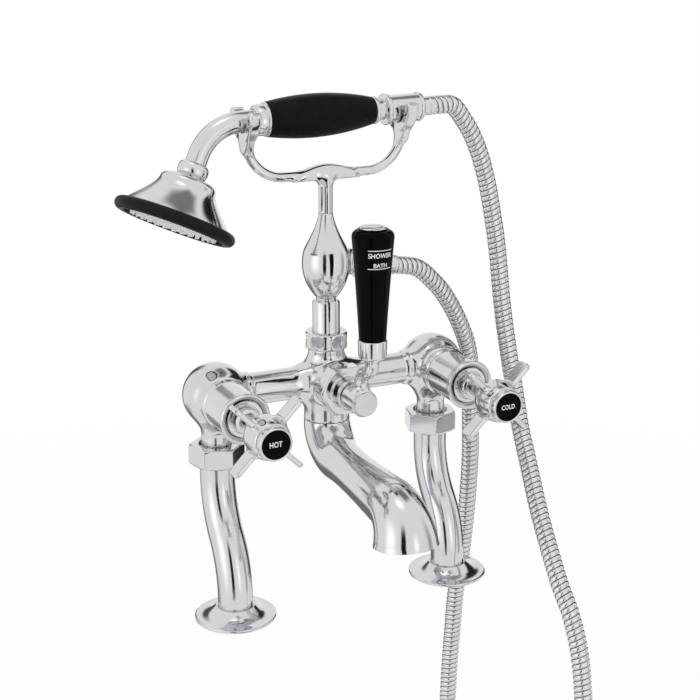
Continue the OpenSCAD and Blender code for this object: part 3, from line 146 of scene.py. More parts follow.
# Mesh makers, each giving points and faces in millimetres
def rounded(points, steps=5):
    """A profile of (r, z) or (r, z, fillet) points with its corners rounded."""
    n = len(points)
    made = []
    for i, q in enumerate(points):
        b = np.array(q[:2], float)
        size = q[2] if len(q) > 2 else 0
        if size <= 0 or i in (0, n - 1):
            made.append(b)
            continue
        a, c = np.array(points[i - 1][:2], float), np.array(points[i + 1][:2], float)
        u, w = (a - b) / np.linalg.norm(a - b), (c - b) / np.linalg.norm(c - b)
        for k in range(steps + 1):
            t = k / steps
            made.append((1 - t) ** 2 * (b + size * u) + 2 * t * (1 - t) * b + t * t * (b + size * w))
    return made


def bezier(p, q, r, s, steps):
    made = []
    for k in range(steps + 1):
        t = k / steps
        b = [(1 - t) ** 3, 3 * (1 - t) ** 2 * t, 3 * (1 - t) * t * t, t ** 3]
        made.append(tuple(sum(w * v[i] for w, v in zip(b, (p, q, r, s))) for i in (0, 1)))
    return made


def s_bend(out, rise, steps):
    """Two equal arcs that make an S from (0, 0) to (out, rise)."""
    bend = (out ** 2 + rise ** 2) / (4 * out)
    turn = 2 * math.degrees(math.atan(out / rise))
    arc = [(bend * (1 - cosd(turn * k / steps)), bend * sind(turn * k / steps)) for k in range(steps + 1)]
    return arc + [(out - x, rise - z) for x, z in arc[-2::-1]]


def lathe(profile, sides=96, closed=False):
    """A profile turned about the z axis, joined end to end if it is closed."""
    profile = [(max(float(r), 0.0), float(z)) for r, z in profile]
    angles = np.arange(sides) * 2 * math.pi / sides
    points, rows, faces = [], [], []
    for r, z in profile:
        if r < 1e-6:
            rows.append([len(points)])
            points.append((0, 0, z))
        else:
            rows.append(list(range(len(points), len(points) + sides)))
            points += [(r * math.cos(a), r * math.sin(a), z) for a in angles]
    pairs = list(zip(rows, rows[1:]))
    if closed:
        pairs.append((rows[-1], rows[0]))
    for lower, upper in pairs:
        for k in range(sides):
            j = (k + 1) % sides
            if len(lower) == 1:
                faces.append((lower[0], upper[k], upper[j]))
            elif len(upper) == 1:
                faces.append((lower[k], upper[0], lower[j]))
            else:
                faces.append((lower[k], upper[k], upper[j], lower[j]))
    area = sum(a[0] * b[1] - b[0] * a[1] for a, b in zip(profile, profile[1:] + profile[:1]))
    if area > 0:
        faces = [f[::-1] for f in faces]
    return np.array(points, float), faces


def headings(path, first, last):
    """Directions along a path, with those of its ends given."""
    heading = np.gradient(path, axis=0)
    heading /= np.linalg.norm(heading, axis=1)[:, None]
    heading[0], heading[-1] = first, last
    return heading


def carried_sides(heading):
    """A direction across each heading, carried along without a twist."""
    u = np.array([0.0, 1.0, 0.0])
    made = []
    for t in heading:
        u = u - np.dot(u, t) * t
        u /= np.linalg.norm(u)
        made.append(u)
    return np.array(made)


def sweep(path, radius, first, last, sides=64):
    """An open round tube along a path."""
    path = np.array(path, float)
    heading = headings(path, first, last)
    angles = np.arange(sides) * 2 * math.pi / sides
    c, s = np.cos(angles)[:, None], np.sin(angles)[:, None]
    across = carried_sides(heading)
    rings = [p + radius * (c * u + s * np.cross(t, u)) for p, t, u in zip(path, heading, across)]
    return np.concatenate(rings), tube_faces(len(path), sides)


def tube_faces(rings, sides):
    faces = []
    for i in range(rings - 1):
        for k in range(sides):
            j = (k + 1) % sides
            faces.append((i * sides + k, i * sides + j, (i + 1) * sides + j, (i + 1) * sides + k))
    return faces


# Distance fields, for cast shapes that run into each other with fillets
def smin(a, b, k):
    h = np.maximum(k - np.abs(a - b), 0) / k
    return np.minimum(a, b) - h * h * k * 0.25


def smax(a, b, k):
    return -smin(-a, -b, k)


def ball(p, middle, r):
    return np.linalg.norm(p - np.array(middle), axis=1) - r


def rod(p, a, b, r, edge=0.8):
    """A cylinder from a to b with its edges rounded."""
    a, b = np.array(a, float), np.array(b, float)
    length = np.linalg.norm(b - a)
    axis = (b - a) / length
    q = p - (a + b) / 2
    z = q @ axis
    radial = np.linalg.norm(q - z[:, None] * axis, axis=1)
    dx, dz = radial - r + edge, np.abs(z) - length / 2 + edge
    return np.minimum(np.maximum(dx, dz), 0) + np.hypot(np.maximum(dx, 0), np.maximum(dz, 0)) - edge


def hoop(p, middle, axis, ring_r, section_r):
    q = p - np.array(middle, float)
    axis = np.array(axis, float)
    z = q @ axis
    radial = np.linalg.norm(q - z[:, None] * axis, axis=1)
    return np.hypot(radial - ring_r, z) - section_r


def hexagon(p2, across_flats):
    """Distance in the plane to a hexagon with corners on the x axis."""
    x, y = np.abs(p2[:, 0]), np.abs(p2[:, 1])
    return np.maximum(y, x * cosd(30) + y * 0.5) - across_flats / 2


def chamfer(radial, above, r):
    """Distance to the cone that cuts a hexagon's corners, with a radius of r at its face."""
    slope, shrink = 1.7, 0.507
    return (radial + above * slope - r) * shrink


def turned_axes(p, angle):
    """Places in the plane along an angle and across it."""
    return p[:, 0] * cosd(angle) + p[:, 1] * sind(angle), p[:, 1] * cosd(angle) - p[:, 0] * sind(angle)


def turning(radial, z, profile):
    """Distance to a turned shape whose profile rises along z."""
    zs, rs = [q[1] for q in profile], [q[0] for q in profile]
    slope = np.interp(z, zs, np.gradient(rs, zs))
    return (radial - np.interp(z, zs, rs)) / np.sqrt(1 + np.clip(slope, -2, 2) ** 2)


def surface(field, low, high, step, settle=3):
    """Points and faces on the zero surface of a distance field."""
    low, high = np.array(low, float), np.array(high, float)
    n = np.ceil((high - low) / step).astype(int) + 1
    grid = np.stack(np.meshgrid(*[low[i] + step * np.arange(n[i]) for i in range(3)], indexing="ij"), -1)
    inside = field(grid.reshape(-1, 3)).reshape(n) < 0
    corners = sum(
        inside[i:n[0] - 1 + i, j:n[1] - 1 + j, k:n[2] - 1 + k].astype(np.int8)
        for i in (0, 1) for j in (0, 1) for k in (0, 1)
    )
    mixed = (corners > 0) & (corners < 8)
    index = np.full(mixed.shape, -1)
    index[mixed] = np.arange(mixed.sum())
    points = low + step * (np.argwhere(mixed) + 0.5)
    quads = []
    for axis in range(3):
        s0 = np.take(inside, np.arange(n[axis] - 1), axis)
        s1 = np.take(inside, np.arange(1, n[axis]), axis)
        cut = [slice(1, -1)] * 3
        cut[axis] = slice(None)
        s0, s1 = s0[tuple(cut)], s1[tuple(cut)]
        where = np.argwhere(s0 != s1)
        for i in range(3):
            if i != axis:
                where[:, i] += 1
        b, c = (axis + 1) % 3, (axis + 2) % 3
        corner = []
        for db, dc in ((-1, -1), (0, -1), (0, 0), (-1, 0)):
            q = where.copy()
            q[:, b] += db
            q[:, c] += dc
            corner.append(index[q[:, 0], q[:, 1], q[:, 2]])
        quad = np.stack(corner, 1)
        outward = s0[s0 != s1]
        quad[~outward] = quad[~outward][:, ::-1]
        quads.append(quad)
    quads = np.concatenate(quads)
    edges = np.concatenate([quads[:, [0, 1]], quads[:, [1, 2]], quads[:, [2, 3]], quads[:, [3, 0]]])
    for turn in range(settle + 1):
        points = to_surface(field, points, step)
        if turn < settle:
            total = np.zeros_like(points)
            count = np.zeros(len(points))
            np.add.at(total, edges[:, 0], points[edges[:, 1]])
            np.add.at(count, edges[:, 0], 1)
            points = 0.4 * points + 0.6 * total / np.maximum(count, 1)[:, None]
    points = to_surface(field, to_surface(field, points, step), step)
    return points, [tuple(q) for q in quads.tolist()]


def to_surface(field, points, step):
    """Points moved down the field's slope to its zero surface, by a step at most."""
    h = 0.02
    d = field(points)
    slope = np.stack([(field(points + e) - field(points - e)) / (2 * h) for e in np.eye(3) * h], 1)
    move = slope * (d / np.maximum((slope ** 2).sum(1), 0.2))[:, None]
    size = np.linalg.norm(move, axis=1)
    return points - move * np.minimum(1, step / np.maximum(size, 1e-9))[:, None]


def placed(parts, placing):
    return [(placing(p), f) for p, f in parts]


def piece(name, parts, material, body, nodes=(), sharp=35):
    """One object from several meshes, which rides on a body and stands for CAD nodes."""
    points, faces, base = [], [], 0
    for p, f in parts:
        points.append(np.asarray(p, float))
        faces += [tuple(i + base for i in q) for q in f]
        base += len(p)
    mesh = bpy.data.meshes.new(name)
    mesh.from_pydata((np.concatenate(points) * MM).tolist(), [], faces)
    mesh.validate()
    mesh.polygons.foreach_set("use_smooth", [True] * len(mesh.polygons))
    mesh.set_sharp_from_angle(angle=math.radians(sharp))
    mesh.materials.append(material)
    o = new_object(name, mesh)
    if nodes:
        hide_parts(*nodes)
    if body:
        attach(o, body)
    return o


def turned(name, profile, placing, material, body, nodes, sides=96, sharp=35):
    """One object turned from a profile with its fillets."""
    return piece(name, placed([lathe(rounded(profile), sides)], placing), material, body, nodes, sharp)


# Materials
def new_material(name):
    m = bpy.data.materials.new(name)
    m.use_nodes = True
    return m, m.node_tree.nodes, m.node_tree.links


def range_node(nodes, low, high, to_low, to_high, kind="LINEAR"):
    """A node that maps one range of values to another."""
    ramp = nodes.new("ShaderNodeMapRange")
    ramp.interpolation_type = kind
    for key, value in (("From Min", low), ("From Max", high), ("To Min", to_low), ("To Max", to_high)):
        ramp.inputs[key].default_value = value
    return ramp


def material(name, color, metallic, roughness, spread, scale, bump=0.0, bump_scale=400.0, specular=0.5,
             tint=0.04):
    """A shader whose colour and roughness vary a little over the surface, with a fine bump."""
    m, nodes, links = new_material(name)
    shader = nodes["Principled BSDF"]
    shader.inputs["Metallic"].default_value = metallic
    shader.inputs["Specular IOR Level"].default_value = specular
    coords = nodes.new("ShaderNodeTexCoord")

    def noise_of(size, detail):
        noise = nodes.new("ShaderNodeTexNoise")
        noise.inputs["Scale"].default_value = size
        noise.inputs["Detail"].default_value = detail
        links.new(coords.outputs["Object"], noise.inputs["Vector"])
        return noise.outputs["Fac"]

    patches = noise_of(scale, 4.0)
    ramp = range_node(nodes, 0.3, 0.7, max(roughness - spread, 0.0), roughness + spread)
    links.new(patches, ramp.inputs["Value"])
    links.new(ramp.outputs["Result"], shader.inputs["Roughness"])
    shade = nodes.new("ShaderNodeValToRGB")
    for element, position, factor in zip(shade.color_ramp.elements, (0.35, 0.65), (1 - tint, 1 + tint)):
        element.position = position
        element.color = [min(c * factor, 1) for c in color] + [1]
    links.new(patches, shade.inputs["Fac"])
    links.new(shade.outputs["Color"], shader.inputs["Base Color"])
    if bump:
        lift = nodes.new("ShaderNodeBump")
        lift.inputs["Strength"].default_value = bump
        lift.inputs["Distance"].default_value = 0.0002
        links.new(noise_of(bump_scale, 3.0), lift.inputs["Height"])
        links.new(lift.outputs["Normal"], shader.inputs["Normal"])
    return m


chrome = material("chrome", (0.645, 0.65, 0.665), 1.0, 0.10, 0.03, 60.0, tint=0.015)
satin_chrome = material("satin_chrome", (0.60, 0.605, 0.62), 1.0, 0.16, 0.05, 90.0, tint=0.03)
hose_steel = material("hose_steel", (0.66, 0.665, 0.68), 1.0, 0.15, 0.04, 160.0, bump=0.008, bump_scale=700.0)
# Darker steel for the hose's grooves: painted shade in the recesses between the wound strips
hose_groove_painted_shade = material("hose_groove_painted_shade", (0.20, 0.20, 0.205), 1.0, 0.35, 0.08, 160.0, bump=0.02,
                       bump_scale=700.0)
black = material("black_resin", (0.005, 0.005, 0.0055), 0.0, 0.36, 0.05, 120.0, bump=0.04, bump_scale=1500.0,
                 specular=0.06, tint=0.15)
black_gloss = material("black_gloss", (0.002, 0.002, 0.0024), 0.0, 0.16, 0.04, 120.0, specular=0.035,
                       tint=0.15)
black_rubber = material("black_rubber", (0.008, 0.008, 0.0085), 0.0, 0.42, 0.08, 150.0, bump=0.15,
                        bump_scale=1800.0, specular=0.08, tint=0.2)
white_paint = material("white_paint", (0.86, 0.86, 0.86), 0.0, 0.4, 0.08, 300.0, tint=0.03)
plate_white = material("plate_white", (0.72, 0.72, 0.71), 0.0, 0.32, 0.08, 90.0, bump=0.05, tint=0.04)
nozzle_grey = material("nozzle_grey", (0.80, 0.80, 0.79), 0.0, 0.42, 0.1, 200.0, bump=0.1, tint=0.05)
brass = material("brass", (0.62, 0.50, 0.25), 1.0, 0.25, 0.08, 120.0, tint=0.08)
ceramic = material("ceramic", (0.84, 0.84, 0.82), 0.0, 0.2, 0.06, 100.0, tint=0.03)

# Hose: the route of the part's source, and a ribbed tube round it
HOSE_LOOP = [
    (92, 32, 230), (106, 33, 212), (117, 34, 192), (125, 35, 171), (130, 38, 144), (132, 41, 110),
    (134, 43, 79), (134, 45, 47), (133, 47, 14), (131, 49, -17), (128, 51, -48), (126, 52, -85),
    (123, 51, -130), (120, 47, -185), (118, 37, -240), (117, 18, -292), (118, -14, -332), (122, -54, -348),
    (128, -92, -332), (133, -118, -292), (137, -130, -240), (140, -134, -185), (141, -131, -130),
    (142, -124, -80), (143, -114, -36), (142, -101, -6), (140, -86, 16), (140, -68, 41), (141, -50, 66),
    (143, -32, 93), (144, -16, 120), (145, -4, 147), (145, 8, 178), (144, 17, 212), (142, 24, 256),
    (138, 28, 288), (134, 30, 309), (127, 31, 331), (116, 32, 352),
]
outlet_dir = np.array([cosd(OUTLET_FALL), 0, -sind(OUTLET_FALL)])
handset_dir = np.array([cosd(HANDSET_TILT), 0, sind(HANDSET_TILT)])
hose_first = np.array([0, BODY_Y, OUTLET_Z]) + HOSE_START * outlet_dir
hose_last = np.array([0, BODY_Y, HANDSET_Z]) + HOSE_END * handset_dir


def smooth_route(p, steps, first, last):
    """A smooth curve through points, with the headings given at both ends."""
    n = len(p) - 1
    made = []
    for i in range(n):
        a = p[1] - 2 * np.linalg.norm(p[1] - p[0]) * first if i == 0 else p[i - 1]
        d = p[n - 1] + 2 * np.linalg.norm(p[n] - p[n - 1]) * last if i == n - 1 else p[i + 2]
        b, c = p[i], p[i + 1]
        for k in range(steps):
            t = k / steps
            made.append(0.5 * (2 * b + (c - a) * t + (2 * a - 5 * b + 4 * c - d) * t * t
                               + (3 * b - a - 3 * c + d) * t ** 3))
    return made + [p[n]]


route = [hose_first + HOSE_D * outlet_dir] + [np.array(q, float) for q in HOSE_LOOP]
route.append(hose_last + HOSE_D * handset_dir)
curve = np.array([hose_first] + smooth_route(route, 24, outlet_dir, -handset_dir) + [hose_last])
along = np.concatenate([[0], np.cumsum(np.linalg.norm(np.diff(curve, axis=0), axis=1))])
HOSE_LENGTH = along[-1]


def hose_points(s):
    return np.stack([np.interp(s, along, curve[:, i]) for i in range(3)], 1)


def ribbed_hose():
    """Two strips wound side by side: each ring of points climbs the helix, so the grooves stay sharp."""
    pitch, starts, sides = 4.2, 2, 24
    band = [(0.0, 0.75), (0.08, 0.4), (0.17, 0.1), (0.5, 0.0), (0.83, 0.1), (0.92, 0.4)]
    fine = np.linspace(0, HOSE_LENGTH, 3000)
    path = hose_points(fine)
    heading = headings(path, outlet_dir, -handset_dir)
    sides_u = carried_sides(heading)
    sides_w = np.cross(heading, sides_u)
    first, last = -starts - 1, int(HOSE_LENGTH / pitch) + starts + 2
    ring_s = np.array([(n + share) * pitch for n in range(first, last) for share, depth in band])
    ring_r = np.array([HOSE_D / 2 - depth for n in range(first, last) for share, depth in band])
    climb = starts * pitch * np.arange(sides) / sides
    true_s = (ring_s[:, None] + climb[None, :]).ravel()
    s = np.clip(true_s, 0, HOSE_LENGTH)
    a = np.tile(np.arange(sides) * 2 * math.pi / sides, len(ring_s))
    r = np.repeat(ring_r, sides)
    pick = [np.stack([np.interp(s, fine, v[:, i]) for i in range(3)], 1) for v in (path, sides_u, sides_w)]
    points = pick[0] + r[:, None] * (np.cos(a)[:, None] * pick[1] + np.sin(a)[:, None] * pick[2])
    faces, grooves = [], []
    turn = starts * len(band)
    for k in range(len(ring_s) - turn - 1):
        for j in range(sides):
            n = k * sides + j
            m = n + 1 if j < sides - 1 else (k + turn) * sides
            quad = (n, m, m + sides, n + sides)
            if max(true_s[i] for i in quad) > 0 and min(true_s[i] for i in quad) < HOSE_LENGTH:
                faces.append(quad)
                # Faces at the bottom of each groove, which take the painted groove shade
                grooves.append(k % len(band) in (0, len(band) - 1))
    used = np.unique(np.array(faces))
    place = np.full(len(points), -1)
    place[used] = np.arange(len(used))
    return (points[used], [tuple(int(place[i]) for i in q) for q in faces]), grooves


strip, grooves = ribbed_hose()
hose = piece("hose_ribbed", [strip], hose_steel, None, ["hose"], sharp=60)
# The groove faces get the darker material, painted shade in the recesses
hose.data.materials.append(hose_groove_painted_shade)
for face, groove in zip(hose.data.polygons, grooves):
    face.material_index = int(groove)
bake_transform(hose)


# Cast body of the mixer
def body_field(p):
    """A bar with a hub and a boss, and at each end a ball with a tail and a valve barrel."""
    y, z = BODY_Y, BAR_Z
    bar_r, neck_r, boss_r, ball_r, tail_r, seat_r, barrel_r = 12.1, 13.4, 17.0, 24.2, 11.0, 14.9, 17.5
    d = rod(p, (-TAP_X, y, z), (TAP_X, y, z), bar_r)
    hub = rod(p, (0, y, SPOUT_Z), (0, y, z + 8), HUB_R, 0.5)
    hub = smin(hub, rod(p, (0, y, z), (0, y, RING_NUT_Z + 4.6), neck_r, 0.6), 6)
    d = smin(d, hub, 15)
    d = smin(d, rod(p, (0, y, z), (0, y - 24, z), boss_r, 0.8), 4)
    for side in (-1, 1):
        x = side * TAP_X
        tail = rod(p, (x, y, 117), (x, y, z - 12), tail_r, 0.6)
        bulb = smin(ball(p, (x, y, z), ball_r), tail, 9)
        barrel = rod(p, (x, y - 8, z), (x, y - 58, z), barrel_r, 0.7)
        barrel = smin(barrel, hoop(p, (x, y - 24.5, z), (0, 1, 0), 16.9, 2.2), 1.5)
        d = smin(d, smin(bulb, barrel, 3), 7)
        d = smin(d, hoop(p, (x - side * 24.5, y, z), (1, 0, 0), 11.6, 1.8), 1.6)
        d = np.minimum(d, rod(p, (x, y, 116), (x, y, 125), seat_r, 0.5))
    return d


piece("mixer_casting", [surface(body_field, (-117, -30, 114), (117, 59, 191), 1.15)], chrome, "mixer",
      ["mixer_body"], sharp=60)


# Spout: two bends with a straight stretch that widens, and a rolled lip
def eased(t, a, slope_a, b, slope_b):
    """From a to b over t from 0 to 1, with the slopes given at both ends."""
    return (a * (2 * t ** 3 - 3 * t * t + 1) + slope_a * (t ** 3 - 2 * t * t + t)
            + b * (3 * t * t - 2 * t ** 3) + slope_b * (t ** 3 - t * t))


def spout_mesh():
    """Points and faces of the spout, and the height of the middle of its mouth."""
    fall, bend, margin = 2.3, 26.0, 1.5
    waist_r, knee_r, mouth_r, lip_l, lip_r = 15.9, 18.8, 22.5, 5.5, 1.2
    bend_share, waist_at = 0.68, 0.208
    stations = [(BODY_Y, SPOUT_Z, 90.0, HUB_R)]

    def narrowing(t):
        return eased(t, HUB_R, 7.0, waist_r, 0)

    for k in range(25):
        t = k / 24
        a = 90 - (90 - fall) * t
        b = bend - sind(180 * t) ** 2
        y, z = BODY_Y - bend + b * sind(a), SPOUT_Z - 0.5 - b * cosd(a)
        stations.append((y, z, a, narrowing(t * bend_share)))
    start_y, start_z = stations[-1][:2]
    pivot_y = MOUTH_Y + (mouth_r + margin) * sind(MOUTH_HEADING) + lip_l * cosd(MOUTH_HEADING)
    end_y = pivot_y - (knee_r + margin) * sind(fall)
    end_z = start_z - (start_y - end_y) * math.tan(math.radians(fall))
    pivot_z = end_z - (knee_r + margin) * cosd(fall)
    for k in range(1, 24):
        t = k / 24
        if t < waist_at:
            r = narrowing(bend_share + (1 - bend_share) * t / waist_at)
        else:
            r = eased((t - waist_at) / (1 - waist_at), waist_r, 0, knee_r, 4)
        stations.append((start_y + (end_y - start_y) * t, start_z + (end_z - start_z) * t, fall, r))
    for k in range(33):
        t = k / 32
        a = fall + (MOUTH_HEADING - fall) * t
        r = knee_r + (mouth_r - knee_r) * t ** 1.6
        stations.append((pivot_y - (r + margin) * sind(a), pivot_z + (r + margin) * cosd(a), a, r))
    mouth_z = pivot_z + (mouth_r + margin) * cosd(MOUTH_HEADING) - lip_l * sind(MOUTH_HEADING)
    lip = [(lip_l * (1 - t), mouth_r + lip_r * t * t) for t in (0.25, 0.5, 0.75, 0.9)]
    lip += [(0.25, 23.55), (0.0, 23.1), (0.0, 22.0), (0.3, 21.3), (1.2, 20.6), (3.0, 19.9), (5.6, 19.4)]
    lip.append((16.0, 14.0))
    for depth, r in lip:
        stations.append((MOUTH_Y + depth * cosd(MOUTH_HEADING), mouth_z + depth * sind(MOUTH_HEADING),
                         MOUTH_HEADING, r))
    angles = np.arange(96) * 2 * math.pi / 96
    rings = []
    for y, z, a, r in stations:
        across, up = r * np.cos(angles), r * np.sin(angles)
        rings.append(np.stack([across, y - sind(a) * up, z + cosd(a) * up], 1))
    return (np.concatenate(rings), tube_faces(len(stations), 96)), mouth_z


spout, mouth_z = spout_mesh()
piece("spout_cast", [spout], chrome, "mixer", ["spout"], sharp=50)

HOLE_RIM = [(1.3, 3.95), (1.5, 3.6, 0.2), (2.2, 3.6, 0.2), (2.3, 3.95)]
RING_PITCH = 5.5


def straightener():
    """A disc in the mouth with three rings of holes, drawn by their rims."""
    parts = [lathe(rounded([(0, 3.9), (19.2, 3.9, 0.3), (19.2, 5.5, 0.3), (0, 5.5)]))]
    for ring in (1, 2, 3):
        for k in range(6 * ring):
            a = 60 * k / ring
            r = RING_PITCH * ring
            parts += placed([lathe(rounded(HOLE_RIM, 2), 14)], at(r * cosd(a), r * sind(a), 0))
    return parts


def in_mouth(p):
    return rotated(p, "x", MOUTH_HEADING - 90) + np.array([0, MOUTH_Y, mouth_z])


piece("spout_insert", placed(straightener(), in_mouth), plate_white, "mixer", ["spout_flow_straightener"])


# Legs, union nuts and deck flanges
LEG_R, LEG_FOOT, LEG_RISE = 13.0, 16.0, 86.0


def leg_path():
    crank = [(0, y, LEG_FOOT + z) for y, z in s_bend(BODY_Y, LEG_RISE, 40)]
    return [(0, 0, 0), (0, 0, 8), (0, 0, 15)] + crank + [(0, BODY_Y, 106), (0, BODY_Y, 112.6)]


def nut_field(p):
    """A hexagon with its corners cut at both faces, and a bore."""
    flats, middle, half, face_r, bore_r = 36.4, 14.25, 7.75, 19.0, 13.4
    radial = np.hypot(p[:, 0], p[:, 1])
    tall = np.abs(p[:, 2] - middle) - half
    d = smax(hexagon(p[:, :2], flats), tall, 0.8)
    d = smax(d, chamfer(radial, tall, face_r), 0.8)
    return smax(d, bore_r - radial, 0.6)


nut_mesh = surface(nut_field, (-22, -20, 5.2), (22, 20, 23.2), 0.6)
# UNDER_NUT is a black ring below each union nut: painted shade and dark reflection for the gap between nut
# and leg
UNDER_NUT = [(13.0, 4.6), (13.9, 4.7, 0.4), (14.2, 6.2, 0.3), (13.2, 6.8)]
FLANGE = [(13.2, 0.2), (30.2, 0.0, 0.5), (30.5, 2.2, 0.9)]
for k in range(13):
    t = k / 12
    FLANGE.append((28.8 - 14.2 * t, 2.5 + 7.0 * t ** 2.3))
FLANGE += [(14.1, 9.6), (13.1, 9.3)]
for side, word, nut_turn in ((-1, "hot", -17), (1, "cold", 14)):
    foot, union = at(side * TAP_X, 0, 0), at(side * TAP_X, BODY_Y, NUT_Z)
    tube = sweep(leg_path(), LEG_R, (0, 0, 1), (0, 0, 1))
    piece(word + "_leg_tube", placed([tube], foot), chrome, "mixer", [word + "_leg"])
    nut = (rotated(nut_mesh[0], "z", nut_turn), nut_mesh[1])
    piece(word + "_nut", placed([nut], union), chrome, "mixer", [word + "_union_nut"], sharp=50)
    # A black ring below the nut, painted shade for the dark gap under it
    turned(word + "_nut_shade_ring", UNDER_NUT, union, black_rubber, "mixer", [])
    turned(word + "_flange", FLANGE, foot, chrome, "mixer", [word + "_deck_flange"], sides=128)

# Valves: shroud, stepped headwork, spindle and handle
SHROUD = [(17.4, 58.0), (18.6, 59.0, 0.5), (18.8, 61.4, 1.2), (17.2, 63.0, 1.2), (14.6, 60.6, 0.8),
          (13.7, 59.2), (13.7, 58.0)]
HEADWORK = [(0, 57.0), (13.4, 57.0), (13.4, 61.6, 0.6), (10.6, 61.6, 0.3), (10.6, 60.4, 0.2),
            (9.6, 60.4, 0.2), (9.6, 67.4, 0.8), (7.4, 69.0, 0.5), (4.9, 69.0)]
SPINDLE = [(4.8, 60.0), (4.8, 84.0)]
BEZEL = [(10.8, 112.4), (12.3, 112.4, 0.3), (12.3, 116.6, 1.0), (11.4, 118.0, 0.6), (10.4, 117.6, 0.3),
         (10.4, 115.0)]
INDEX = [(0, 116.9), (9.9, 116.9, 0.2), (10.35, 117.3, 0.2), (10.35, 115.0)]
WORD_Z = 117.0
DRUM_LOW, DRUM_WIDE, DRUM_HIGH, DRUM_R = 81.5, 100.3, 112.5, 15.4
DRUM = bezier((7.5, DRUM_LOW), (7.5, 90.5), (DRUM_R, 87.3), (DRUM_R, DRUM_WIDE), 24)
DRUM += bezier((DRUM_R, DRUM_WIDE), (DRUM_R, 106.3), (13.6, 111.5), (12.8, DRUM_HIGH), 16)[1:]


def handle_field(p):
    """A turned drum with two flat blades through it, each a quarter turn from the other."""
    blade_l, blade_z, blade_h, blade_r, blade_t = 31.0, 99.3, 2.3, 4.0, 1.9
    z = p[:, 2]
    d = turning(np.hypot(p[:, 0], p[:, 1]), z, DRUM)
    d = smax(d, np.maximum(DRUM_LOW - z, z - DRUM_HIGH), 1.0)
    for angle in (45, 135):
        u, w = turned_axes(p, angle)
        beyond = np.maximum(np.abs(u) - blade_l, 0), np.maximum(np.abs(z - blade_z) - blade_h, 0)
        blade = smax(np.hypot(*beyond) - blade_r, np.abs(w) - blade_t, 1.2)
        d = smin(d, blade, 2.6)
    return d


handle_mesh = surface(handle_field, (-28, -28, 79), (28, 28, 114.5), 0.6)


def lettering(name, text, width, size_ratio, place, body):
    """Words as thin paint, laid flat and then placed point by point."""
    curve_data = bpy.data.curves.new(name, "FONT")
    curve_data.body = text
    curve_data.offset = 0.012
    curve_data.resolution_u = 3
    text_object = new_object(name + "_text", curve_data)
    solved = text_object.evaluated_get(bpy.context.evaluated_depsgraph_get())
    flat = bpy.data.meshes.new_from_object(solved)
    bpy.data.objects.remove(text_object)
    points = np.array([v.co[:2] for v in flat.vertices])
    faces = [tuple(q.vertices) for q in flat.polygons]
    bpy.data.meshes.remove(flat)
    points -= (points.max(0) + points.min(0)) / 2
    k = width / np.ptp(points[:, 0])
    points = points * [k, k * size_ratio]
    return piece(name, [(place(points), faces)], white_paint, body, (), sharp=60)


def on_disc(front):
    """Words laid flat on the index disc of a valve."""
    def place(q):
        return front(np.stack([q[:, 0], q[:, 1], np.full(len(q), WORD_Z)], 1))
    return place


for side, word, word_width in ((-1, "hot", 9.2), (1, "cold", 10.8)):
    front, moving = forward(side * TAP_X), word + "_handle"
    turned(word + "_valve_shroud", SHROUD, front, chrome, "mixer", [word + "_shroud"])
    turned(word + "_valve_bush", HEADWORK, front, chrome, "mixer", [word + "_headwork"])
    turned(word + "_valve_spindle", SPINDLE, front, satin_chrome, moving, [word + "_spindle"],
           sides=48)
    piece(word + "_cross_handle", placed([handle_mesh], front), chrome, moving, [word + "_crosshead"],
          sharp=50)
    turned(word + "_bezel", BEZEL, front, chrome, moving, [word + "_index_bezel"])
    turned(word + "_disc", INDEX, front, black_gloss, moving, [word + "_index_disc"])
    lettering(word + "_word", word.upper(), word_width, 1.25, on_disc(front), moving)


# Diverter: bonnet, gland, lever
def bonnet_field(p):
    """A hexagon on the boss, with a round gland in front."""
    low, high, flats, face_r, gland_r = 23.9, 36.0, 36.0, 18.4, 12.0
    z = p[:, 2]
    d = smax(hexagon(p[:, :2], flats), np.maximum(low - z, z - high), 0.8)
    d = smax(d, chamfer(np.hypot(p[:, 0], p[:, 1]), z - high, face_r), 0.8)
    return smin(d, rod(p, (0, 0, 30), (0, 0, 46.5), gland_r, 1.2), 1.2)


bonnet = surface(bonnet_field, (-22, -20, 23), (22, 20, 48), 0.65)
piece("diverter_hexagon", placed([bonnet], forward(0)), chrome, "mixer", ["diverter_bonnet"],
      sharp=50)

ARM_Z, ARM_FOOT, ARM_OUT, ARM_RISE, ARM_R = 60.5, 13.0, 18.5, 23.4, 5.0
LEVER_ARM = [(ARM_Z + z, ARM_FOOT + y) for z, y in s_bend(ARM_OUT, ARM_RISE, 12)]


def lever_field(p):
    """In the frame of the diverter: y is up and z forwards."""
    d = rod(p, (0, 0, 47.2), (0, 0, 67.2), 10.2, 1.2)
    line = [(ARM_Z, 0.0)] + LEVER_ARM + [(ARM_Z + ARM_OUT, 39)]
    arm = None
    for (za, ya), (zb, yb) in zip(line, line[1:]):
        a, b = np.array([0, ya, za]), np.array([0, yb, zb])
        t = np.clip(((p - a) @ (b - a)) / ((b - a) @ (b - a)), 0, 1)
        part = np.linalg.norm(p - a - t[:, None] * (b - a), axis=1) - ARM_R
        arm = part if arm is None else np.minimum(arm, part)
    arm = np.maximum(arm, p[:, 1] - 38)
    return smin(d, arm, 4)


